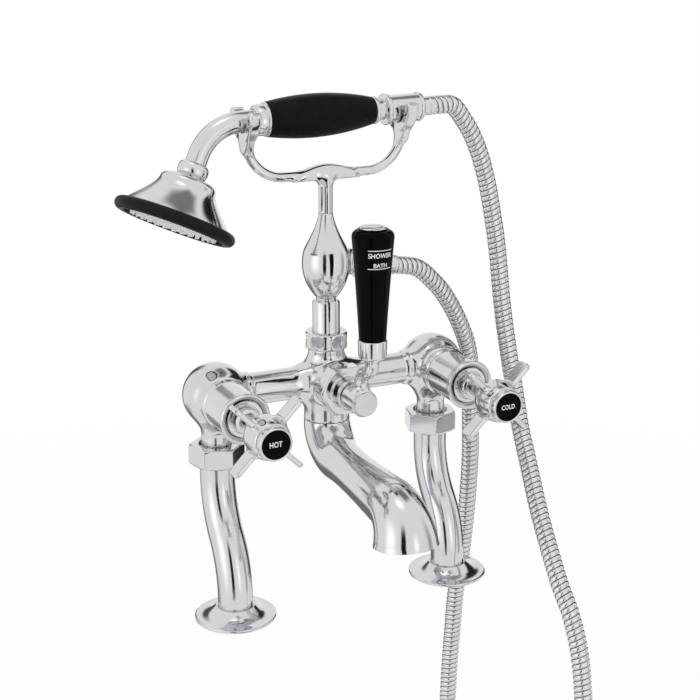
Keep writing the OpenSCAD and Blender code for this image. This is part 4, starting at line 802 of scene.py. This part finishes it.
lever = surface(lever_field, (-11, -11, 45), (11, 40, 86), 0.6)
piece("lever_casting", placed([lever], forward(0)), chrome, "diverter_lever",
      ["lever_arm", "diverter_spindle"], sharp=50)
CAP_DISC = [(0, 69.5), (8.6, 69.5, 0.3), (9.1, 69.0, 0.3), (9.1, 67.0)]
turned("lever_disc", CAP_DISC, forward(0), satin_chrome, "diverter_lever", ["lever_hub_cap"])
LEVER_Y = BODY_Y - ARM_Z - ARM_OUT
FERRULE_Z = BAR_Z + 37
FERRULE = [(0, 0), (5.2, 0.0), (7.6, 0.2, 0.5), (10.2, 2.2, 1.0), (10.5, 14.4, 0.5), (9.6, 15.0), (0, 15.0)]
turned("lever_collar", FERRULE, at(0, LEVER_Y, FERRULE_Z), chrome, "diverter_lever",
       ["lever_ferrule"])
GRIP_Z, GRIP_FOOT, GRIP_RISE, GRIP_L = FERRULE_Z + 15, 0.4, 73.0, 80.0


def grip_r(t):
    """Radius of the lever's grip, with t from 0 at its foot to 1 at its shoulder."""
    return 9.7 + 5.3 * (0.78 * t + 0.22 * t * t)


GRIP = [(8.9, 0.0)] + [(grip_r(k / 24), GRIP_FOOT + GRIP_RISE * (k / 24)) for k in range(25)]
CAP_R, SHOULDER_R, SHOULDER_Z = 10.0, 5.0, 74.0
for k in range(1, 13):
    a = 90 * k / 12
    GRIP.append((CAP_R + SHOULDER_R * cosd(a), SHOULDER_Z + SHOULDER_R * sind(a)))
GRIP += [(CAP_R, GRIP_L), (0, GRIP_L)]
turned("lever_handle", GRIP, at(0, LEVER_Y, GRIP_Z), black_gloss, "diverter_lever", ["lever_grip"],
       sharp=50)
CAP = [(9.6, -0.4), (CAP_R, 0.2)]
CAP += [(CAP_R * cosd(a), 0.3 + 1.7 * sind(a)) for a in range(10, 90, 10)] + [(0, 2.0)]
turned("lever_button", CAP, at(0, LEVER_Y, GRIP_Z + GRIP_L), chrome, "diverter_lever", ["lever_cap"],
       sharp=60)

PAINT, LETTER_TURN = 0.08, 3.0


def on_lever(height):
    """Words wrapped round the grip at a height above the deck, turned towards the hot side."""
    def place(q):
        z = height + q[:, 1]
        t = np.clip((z - GRIP_Z - GRIP_FOOT) / GRIP_RISE, 0, 1)
        r = grip_r(t) + PAINT
        a = np.radians(-90 - LETTER_TURN) + q[:, 0] / r
        return np.stack([r * np.cos(a), LEVER_Y + r * np.sin(a), z], 1)
    return place


def stroke(name, width, thick, place):
    """A painted line on the lever's grip."""
    n = 24
    x = np.linspace(-width / 2, width / 2, n)
    q = np.concatenate([np.stack([x, np.full(n, y)], 1) for y in (-thick / 2, thick / 2)])
    faces = [(k, k + 1, n + k + 1, n + k) for k in range(n - 1)]
    return piece(name, [(place(q), faces)], white_paint, "diverter_lever", (), sharp=60)


lettering("shower_word", "SHOWER", 18.0, 1.1, on_lever(280.1), "diverter_lever")
lettering("bath_word", "BATH", 10.0, 1.0, on_lever(273.2), "diverter_lever")
stroke("shower_line", 18.5, 0.5, on_lever(283.7))
stroke("bath_line", 18.5, 0.5, on_lever(270.7))


# Riser with its bulb and hose outlet
def riser_profile():
    """A shank, a waist, and a bulb that runs up into the stem like an onion."""
    bulb_r, waist_r, half, arc_top = 18.2, 7.2, 26.5, 10
    inset = bulb_r - waist_r
    arc = (half ** 2 + inset ** 2) / (2 * inset)
    points = [(10.4, 178.0), (10.4, 225.6), (9.6, 227.0), (7.8, 227.3), (waist_r, 228.0)]
    for k in range(31):
        z = -half + (half + arc_top) * k / 30
        points.append((bulb_r - arc + math.sqrt(arc ** 2 - z * z), BULB_Z + z))
    r = points[-1][0]
    onion = bezier((r, arc_top), (r - 3, 17.5), (7.5, 25), (5.3, 38), 30)
    return points + [(r, BULB_Z + z) for r, z in onion[1:]]


RISER = riser_profile()
SHANK_TOP_Z = 228.5


def riser_field(p):
    z = p[:, 2]
    d = turning(np.hypot(p[:, 0], p[:, 1] - BODY_Y), z, RISER)
    d = np.maximum(d, np.maximum(SHANK_TOP_Z - z, z - RISER_TOP_Z))
    end = outlet(np.array([[0, 0, 20.8]]))[0]
    return smin(d, rod(p, (0, BODY_Y, OUTLET_Z), end, 10.0, 0.5), 3)


shank = lathe([(r, z) for r, z in RISER if z < 231])
bulb = surface(riser_field, (-20, 12, 228), (24, 52, 295), 0.9)
piece("riser_turning", placed([shank], at(0, BODY_Y, 0)) + [bulb], chrome, "mixer", ["riser"],
      sharp=50)


def ring_nut_field(p):
    """A round nut with six dimples for a spanner."""
    nut_r, bore_r, middle, half, dimple_r, floor_r = 16.1, 10.5, 10.5, 6.5, 5.2, 13.7
    radial = np.hypot(p[:, 0], p[:, 1])
    z = p[:, 2]
    d = smax(radial - nut_r, np.abs(z - middle) - half, 2.0)
    d = smax(d, bore_r - radial, 0.5)
    for k in range(6):
        u, w = turned_axes(p, -80 + 60 * k)
        dimple = np.maximum(np.hypot(w, z - 10.6) - dimple_r, floor_r - u)
        d = smax(d, -dimple, 0.5)
    return d


ring_nut = surface(ring_nut_field, (-18, -18, -1.5), (18, 18, 18.5), 0.5)
piece("riser_nut", placed([ring_nut], at(0, BODY_Y, RING_NUT_Z)), chrome, "mixer", ["riser_ring_nut"],
      sharp=50)


# Cradle: yoke with a swelling over its stem, and two open forks
def yoke_field(p):
    """Both halves at once, by taking x without its sign."""
    bar_r, bend_r, swell_r, half_t = 3.5, 28.0, 30.0, 3.5
    x, y, z = np.abs(p[:, 0]), p[:, 1] - BODY_Y, p[:, 2]
    q = np.stack([x, y, z], 1)
    foot = FORK_X - bend_r
    bar = np.hypot(np.hypot(np.maximum(x - foot, 0), y), z - YOKE_Z) - bar_r
    dx, dz = x - foot, z - (YOKE_Z + bend_r)
    ring = np.hypot(np.hypot(dx, dz) - bend_r, y) - bar_r
    bend = np.maximum(np.maximum(ring, -dx), dz)
    d = smin(bar, bend, 0.6)
    post = rod(q, (FORK_X, 0, YOKE_Z + 26), (FORK_X, 0, YOKE_Z + 34), bar_r, 0.4)
    d = smin(d, post, 1.0)
    swell = np.hypot(x, z - (YOKE_Z + 7.4 - swell_r)) - swell_r
    swell = smax(swell, np.abs(y) - 4.0, 3.0)
    swell = smax(swell, YOKE_Z - 2.5 - z, 1.0)
    d = smin(d, swell, 6)
    stem = rod(q, (0, 0, RISER_TOP_Z), (0, 0, YOKE_Z), 5.3, 0.4)
    d = smin(d, stem, 6)
    radial = np.hypot(y, z - FORK_MIDDLE_Z)
    fork_r = FORK_SEAT_R + 5.0
    fork = smax(radial - fork_r, np.abs(x - FORK_X) - half_t, 1.2)
    slot = np.where(z > FORK_MIDDLE_Z, np.abs(y) - FORK_SEAT_R, radial - FORK_SEAT_R)
    rise = z - (FORK_MIDDLE_Z - fork_r - 13.0)
    gusset = (np.abs(y) - 2.6 - rise * 13.0 / 22.4) * 0.87
    gusset = smax(gusset, np.abs(x - FORK_X) - 3.2, 1.5)
    gusset = smax(gusset, np.maximum(4.0 - rise, z - FORK_MIDDLE_Z), 2.0)
    fork = smin(fork, gusset, 4.0)
    fork = smax(fork, -slot, 1.0)
    fork = smax(fork, z - FORK_TOP_Z, 1.0)
    return smin(d, fork, 5.0)


cradle = surface(yoke_field, (-67, 11, 291), (67, 53, 374), 0.8)
piece("cradle_casting", [cradle], chrome, "mixer", ["cradle_yoke"], sharp=60)

# Hose outlet: nipple, conical nut and crimped sleeve
NIPPLE = [(0, 20.8), (10.0, 20.8, 0.4), (10.0, 24.0, 0.4), (9.0, 24.2), (9.0, 26.0)]
HOSE_NUT = [(9.8, 24.4), (11.6, 24.4, 0.5), (12.0, 25.4, 0.4), (12.0, 34.0, 2.0), (8.6, 48.4, 0.8),
            (7.2, 49.2), (6.3, 49.0)]
SLEEVE = [(7.2, 48.8), (7.5, 49.4, 0.3), (7.5, 57.6, 0.5), (6.6, 58.2), (5.0, 58.2)]
turned("outlet_nipple", NIPPLE, outlet, chrome, "mixer", ["hose_outlet_nipple"])
turned("outlet_nut", HOSE_NUT, outlet, chrome, "mixer", ["outlet_hose_nut"])
turned("outlet_sleeve", SLEEVE, outlet, chrome, "mixer", ["outlet_hose_sleeve"])

# Handset: neck, ferrules, grip, coupling and rose
NECK_R, NECK_START, NECK_END_STEP = 7.7, -46.5, 1.9
neck_path = [(NECK_START - 0.92 * k, 0, 0) for k in range(20)] + [(NECK_BEND_X, 0, 0)]
for k in range(1, 41):
    a = NECK_TURN * k / 40
    neck_path.append((NECK_BEND_X - NECK_BEND * sind(a), 0, -NECK_BEND * (1 - cosd(a))))
last_dir = (-cosd(NECK_TURN), 0, -sind(NECK_TURN))
end_x, end_z = neck_path[-1][::2]
for k in range(1, 6):
    beyond = NECK_END_STEP * k
    neck_path.append((end_x + beyond * last_dir[0], 0, end_z + beyond * last_dir[2]))
neck = sweep(neck_path, NECK_R, (-1, 0, 0), last_dir)
piece("neck_tube", placed([neck], handset), chrome, "handset", ["handset_neck"])
FRONT_FERRULE = [(NECK_R, -56.0)] + bezier((9.1, -56.0), (10.9, -55.6), (11.5, -53.0), (11.5, -49.0), 10)
FRONT_FERRULE += [(11.3, -48.5), (11.7, -48.3), (12.3, -47.6, 0.4), (12.3, -46.4, 0.5), (11.6, -45.9),
                  (6.2, -45.9)]
turned("front_ferrule", FRONT_FERRULE, along_handset, chrome, "handset", ["handset_front_ferrule"])


def circle_through(a, b, c):
    """The middle of the circle through three points."""
    d = 2 * (a[0] * (b[1] - c[1]) + b[0] * (c[1] - a[1]) + c[0] * (a[1] - b[1]))
    aa, bb, cc = (q[0] ** 2 + q[1] ** 2 for q in (a, b, c))
    return ((aa * (b[1] - c[1]) + bb * (c[1] - a[1]) + cc * (a[1] - b[1])) / d,
            (aa * (c[0] - b[0]) + bb * (a[0] - c[0]) + cc * (b[0] - a[0])) / d)


HAND_GRIP_ARC = [(12.5, 0), (15.7, 41.0), (9.8, 83.5)]
HAND_GRIP_X = -46.0
middle_r, middle_x = circle_through(*HAND_GRIP_ARC)
arc_r = math.hypot(HAND_GRIP_ARC[0][0] - middle_r, middle_x)
HAND_GRIP = [(0, HAND_GRIP_X), (11.8, HAND_GRIP_X)]
for k in range(49):
    x = 0.4 + 82.7 * k / 48
    HAND_GRIP.append((middle_r + math.sqrt(arc_r ** 2 - (x - middle_x) ** 2), x + HAND_GRIP_X))
HAND_GRIP += [(9.2, 37.5), (0, 37.5)]
turned("hand_grip", HAND_GRIP, along_handset, black, "handset", ["handset_grip"], sharp=50)
REAR_FERRULE = [(6.2, 37.5), (9.7, 37.5, 0.4), (10.2, 38.4, 0.5), (10.0, 40.2, 0.5), (7.0, 40.5)]
turned("rear_ferrule", REAR_FERRULE, along_handset, chrome, "handset", ["handset_rear_ferrule"])
COUPLING = [(6.4, 40.5), (7.3, 40.5), (7.3, 46.5, 0.4), (11.2, 46.5, 0.5), (11.7, 47.6, 0.5),
            (11.4, 49.8, 0.5), (10.1, 50.2, 0.3), (10.1, 73.8), (10.7, 74.0, 0.3), (10.9, 75.2, 0.5),
            (10.5, 76.4, 0.3), (10.0, 76.6), (9.4, 77.5, 0.4), (5.2, 77.5)]
turned("hose_coupling", COUPLING, along_handset, chrome, "handset", ["handset_coupling"])
HAND_SLEEVE = [(5.2, 77.0), (6.9, 77.0), (6.9, 83.0, 0.4), (7.3, 83.6, 0.3), (7.3, 86.2, 0.4), (6.0, 86.4)]
turned("handset_sleeve", HAND_SLEEVE, along_handset, chrome, "handset", ["handset_hose_sleeve"])

BELL_TOP = -16.3
bell = [(NECK_R, -6.0), (8.5, -5.8), (9.6, -6.4), (10.6, -7.6), (11.2, -9.6), (11.2, -12.4), (10.4, -14.6),
        (9.9, -15.6), (10.6, -16.0)]
bell += [(r, BELL_TOP - d) for r, d in bezier((11.2, 0), (16, 0), (20.5, 1.5), (20.5, 6), 10)]
bell += [(r, BELL_TOP - d) for r, d in bezier((20.5, 6), (21.9, 12), (32.5, 21), (38, 28), 24)[1:]]
bell += [(36.5, -44.6), (30, -40.0)]
turned("rose_dome", bell, rose, chrome, "handset", ["rose_bell"], sides=128, sharp=50)
RING_R, RING_Z, RING_SECTION_R = 39.5, -48.8, 4.5
ring = []
for k in range(33):
    a = 90 - 180 * k / 32
    ring.append((RING_R + RING_SECTION_R * cosd(a), RING_Z + RING_SECTION_R * sind(a)))
ring += [(37.5, -53.2), (36.2, -52.6), (36.0, -50.0), (36.0, -44.3)]
piece("rose_rubber_ring", placed([lathe(ring, 128, closed=True)], rose), black_rubber, "handset",
      ["rose_ring"], sharp=50)
PLATE = [(0, -50.2), (34.6, -50.2, 0.4), (35.2, -49.7), (35.9, -49.6), (35.9, -47.0)]
turned("spray_plate", PLATE, rose, plate_white, "handset", ["rose_spray_plate"], sides=128)
NOZZLE = rounded([(1.5, 0.4), (1.35, -0.4), (0.95, -2.9, 0.25), (0.45, -2.9), (0.4, -1.6)])
MAT_Z, NOZZLE_Z = -50.4, -50.6
nozzles = placed([lathe([(0, 0), (33.6, 0), (34.0, 0.4), (34.0, 0.8)])], at(0, 0, MAT_Z))
for count, radius in ((1, 0.0), (6, 6.2), (12, 12.4), (18, 18.6), (24, 24.8), (30, 30.6)):
    for k in range(count):
        a = 360 * k / count + (180 / count if count in (12, 24) else 0)
        nozzles += placed([lathe(NOZZLE, 14)], at(radius * cosd(a), radius * sind(a), NOZZLE_Z))
piece("spray_nozzles", placed(nozzles, rose), nozzle_grey, "handset", ["rose_nozzles"],
      sharp=40)

# CAD nodes that stay keep their shape and get a better material
KEPT = (
    (black_rubber, ("spout_seal", "union_washers", "deck_gaskets", "headwork_seals", "diverter_seal",
                    "riser_seal", "outlet_hose_washer")),
    (ceramic, ("fixed_discs", "hot_moving_disc", "cold_moving_disc")),
    (satin_chrome, ("hot_handle_screw", "cold_handle_screw")),
    (brass, ("diverter_plug", "handset_inner_tube")),
    (plate_white, ("outlet_check_valve",)),
)
for better, kept_nodes in KEPT:
    for node in kept_nodes:
        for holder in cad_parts[node].material_slots:
            holder.material = better


# Floor, light and dark cards that only reflections see
def panel(name, width, height):
    """A flat rectangle about its own middle."""
    w, h = width / 2, height / 2
    mesh = bpy.data.meshes.new(name)
    mesh.from_pydata([(-w, -h, 0), (w, -h, 0), (w, h, 0), (-w, h, 0)], [], [(0, 1, 2, 3)])
    return mesh


FLOOR_Z = -0.372
FLOOR_WHITE = 0.86
floor_mesh = panel("floor", 12.0, 12.0)
floor = new_object("floor", floor_mesh)
floor.location.z = FLOOR_Z


def white_for_eyes(nodes, links, other, output, share):
    """Camera, glossy and transmitted rays see white by a share; the rest is the plain shader."""
    path = nodes.new("ShaderNodeLightPath")
    first, second, part = (nodes.new("ShaderNodeMath") for k in range(3))
    first.operation = second.operation = "MAXIMUM"
    part.operation = "MULTIPLY"
    part.inputs[1].default_value = share
    links.new(path.outputs["Is Camera Ray"], first.inputs[0])
    links.new(path.outputs["Is Glossy Ray"], first.inputs[1])
    links.new(first.outputs[0], second.inputs[0])
    links.new(path.outputs["Is Transmission Ray"], second.inputs[1])
    links.new(second.outputs[0], part.inputs[0])
    white = nodes.new("ShaderNodeEmission" if output.type != "OUTPUT_WORLD" else "ShaderNodeBackground")
    white.inputs["Color"].default_value = (1, 1, 1, 1)
    white.inputs["Strength"].default_value = 1.0
    mix = nodes.new("ShaderNodeMixShader")
    links.new(part.outputs[0], mix.inputs[0])
    links.new(other.outputs[0], mix.inputs[1])
    links.new(white.outputs[0], mix.inputs[2])
    links.new(mix.outputs[0], output.inputs["Surface"])
    return part.inputs[1]


world = bpy.data.worlds.new("studio")
bpy.context.scene.world = world
world.use_nodes = True
nodes = world.node_tree.nodes
background = nodes["Background"]
background.inputs["Color"].default_value = (1, 1, 1, 1)
background.inputs["Strength"].default_value = 0.55
white_for_eyes(nodes, world.node_tree.links, background, nodes["World Output"], 1.0)

floor_material, nodes, links = new_material("floor_white")
floor_shader = nodes["Principled BSDF"]
floor_shader.inputs["Base Color"].default_value = (0.94, 0.94, 0.94, 1)
floor_shader.inputs["Roughness"].default_value = 0.8
floor_share = white_for_eyes(nodes, links, floor_shader, nodes["Material Output"], FLOOR_WHITE)
floor_place = nodes.new("ShaderNodeTexCoord")
floor_far = nodes.new("ShaderNodeVectorMath")
floor_far.operation = "LENGTH"
floor_ramp = range_node(nodes, 0.4, 1.8, FLOOR_WHITE, 1.0, "SMOOTHSTEP")
links.new(floor_place.outputs["Object"], floor_far.inputs[0])
links.new(floor_far.outputs["Value"], floor_ramp.inputs["Value"])
links.new(floor_ramp.outputs["Result"], floor_share)
floor_mesh.materials.append(floor_material)


def lamp(name, place, target, size, power):
    data = bpy.data.lights.new(name, "AREA")
    data.shape = "RECTANGLE"
    data.size, data.size_y = size
    data.energy = power
    o = new_object(name, data)
    o.location = place
    aim(o, place, target)
    o.visible_glossy = False


def aim(o, place, target):
    o.rotation_euler = (Vector(target) - Vector(place)).to_track_quat("-Z", "Y").to_euler()


lamp("key", (-1.4, -1.3, 1.7), (0, 0, 0.2), (1.6, 1.6), 24)
lamp("fill", (1.6, -1.0, 0.9), (0, 0, 0.2), (1.2, 1.6), 10)
lamp("top", (0.0, 0.3, 2.2), (0, 0, 0.1), (1.8, 1.8), 16)


def card(name, place, size, shade, soft=(0.6, 0.6), target=None):
    """A panel with soft edges that only glossy rays see."""
    mesh = panel(name, *size)
    m, nodes, links = new_material(name)
    nodes.remove(nodes["Principled BSDF"])
    glow = nodes.new("ShaderNodeEmission")
    glow.inputs["Color"].default_value = (shade, shade, shade * 1.02, 1)
    clear = nodes.new("ShaderNodeBsdfTransparent")
    where = nodes.new("ShaderNodeTexCoord")
    split = nodes.new("ShaderNodeSeparateXYZ")
    links.new(where.outputs["Object"], split.inputs[0])
    fade = []
    for axis, full, share in zip("XY", size, soft):
        size_of = nodes.new("ShaderNodeMath")
        size_of.operation = "ABSOLUTE"
        links.new(split.outputs[axis], size_of.inputs[0])
        ramp = range_node(nodes, full / 2 * (1 - share), full / 2, 1.0, 0.0, "SMOOTHSTEP")
        links.new(size_of.outputs[0], ramp.inputs["Value"])
        fade.append(ramp)
    both = nodes.new("ShaderNodeMath")
    both.operation = "MULTIPLY"
    links.new(fade[0].outputs["Result"], both.inputs[0])
    links.new(fade[1].outputs["Result"], both.inputs[1])
    mix = nodes.new("ShaderNodeMixShader")
    links.new(both.outputs[0], mix.inputs[0])
    links.new(clear.outputs[0], mix.inputs[1])
    links.new(glow.outputs[0], mix.inputs[2])
    links.new(mix.outputs[0], nodes["Material Output"].inputs["Surface"])
    mesh.materials.append(m)
    o = new_object(name, mesh)
    o.location = place
    aim(o, place, target or (0, 0, place[2]))
    o.visible_camera = o.visible_diffuse = o.visible_shadow = o.visible_transmission = False


def around(azimuth, distance, height):
    """A place at an azimuth from the front, positive to the cold side."""
    return (distance * sind(azimuth), -distance * cosd(azimuth), height)


card("slit_front", around(-32, 1.0, 0.2), (0.34, 1.9), 0.01, soft=(0.35, 0.75))
card("dark_back_right", around(112, 1.1, 0.1), (0.7, 2.0), 0.02)
card("dark_back_high", around(120, 1.1, 0.75), (0.85, 0.9), 0.03, soft=(0.5, 0.5), target=(0, 0, 0.2))
card("grey_back_left", around(-172, 1.1, 0.1), (0.5, 2.0), 0.10)
card("grey_right", around(62, 1.1, 0.0), (0.6, 1.8), 0.45, soft=(0.9, 0.9))
card("dark_low_back", (0.25, 0.75, -0.34), (2.4, 0.8), 0.2, target=(0.25, 0.75, 2.0))
card("dark_low_front", (-0.1, -0.45, -0.35), (0.9, 0.25), 0.2, soft=(0.9, 0.9), target=(-0.1, -0.45, 2.0))
card("grey_above", (0.5, 0.3, 1.5), (1.2, 0.9), 0.25, target=(0, 0, 0.1))
card("card_key", around(-78, 1.2, 0.25), (1.3, 1.5), 1.6, soft=(0.95, 0.95), target=(0, 0, 0.2))
card("card_fill", around(10, 1.3, 0.2), (0.6, 1.4), 1.5, soft=(0.9, 0.9), target=(0, 0, 0.2))
card("card_top", (-0.2, -0.2, 1.6), (1.0, 0.7), 1.7, soft=(0.9, 0.9), target=(0, 0, 0.1))
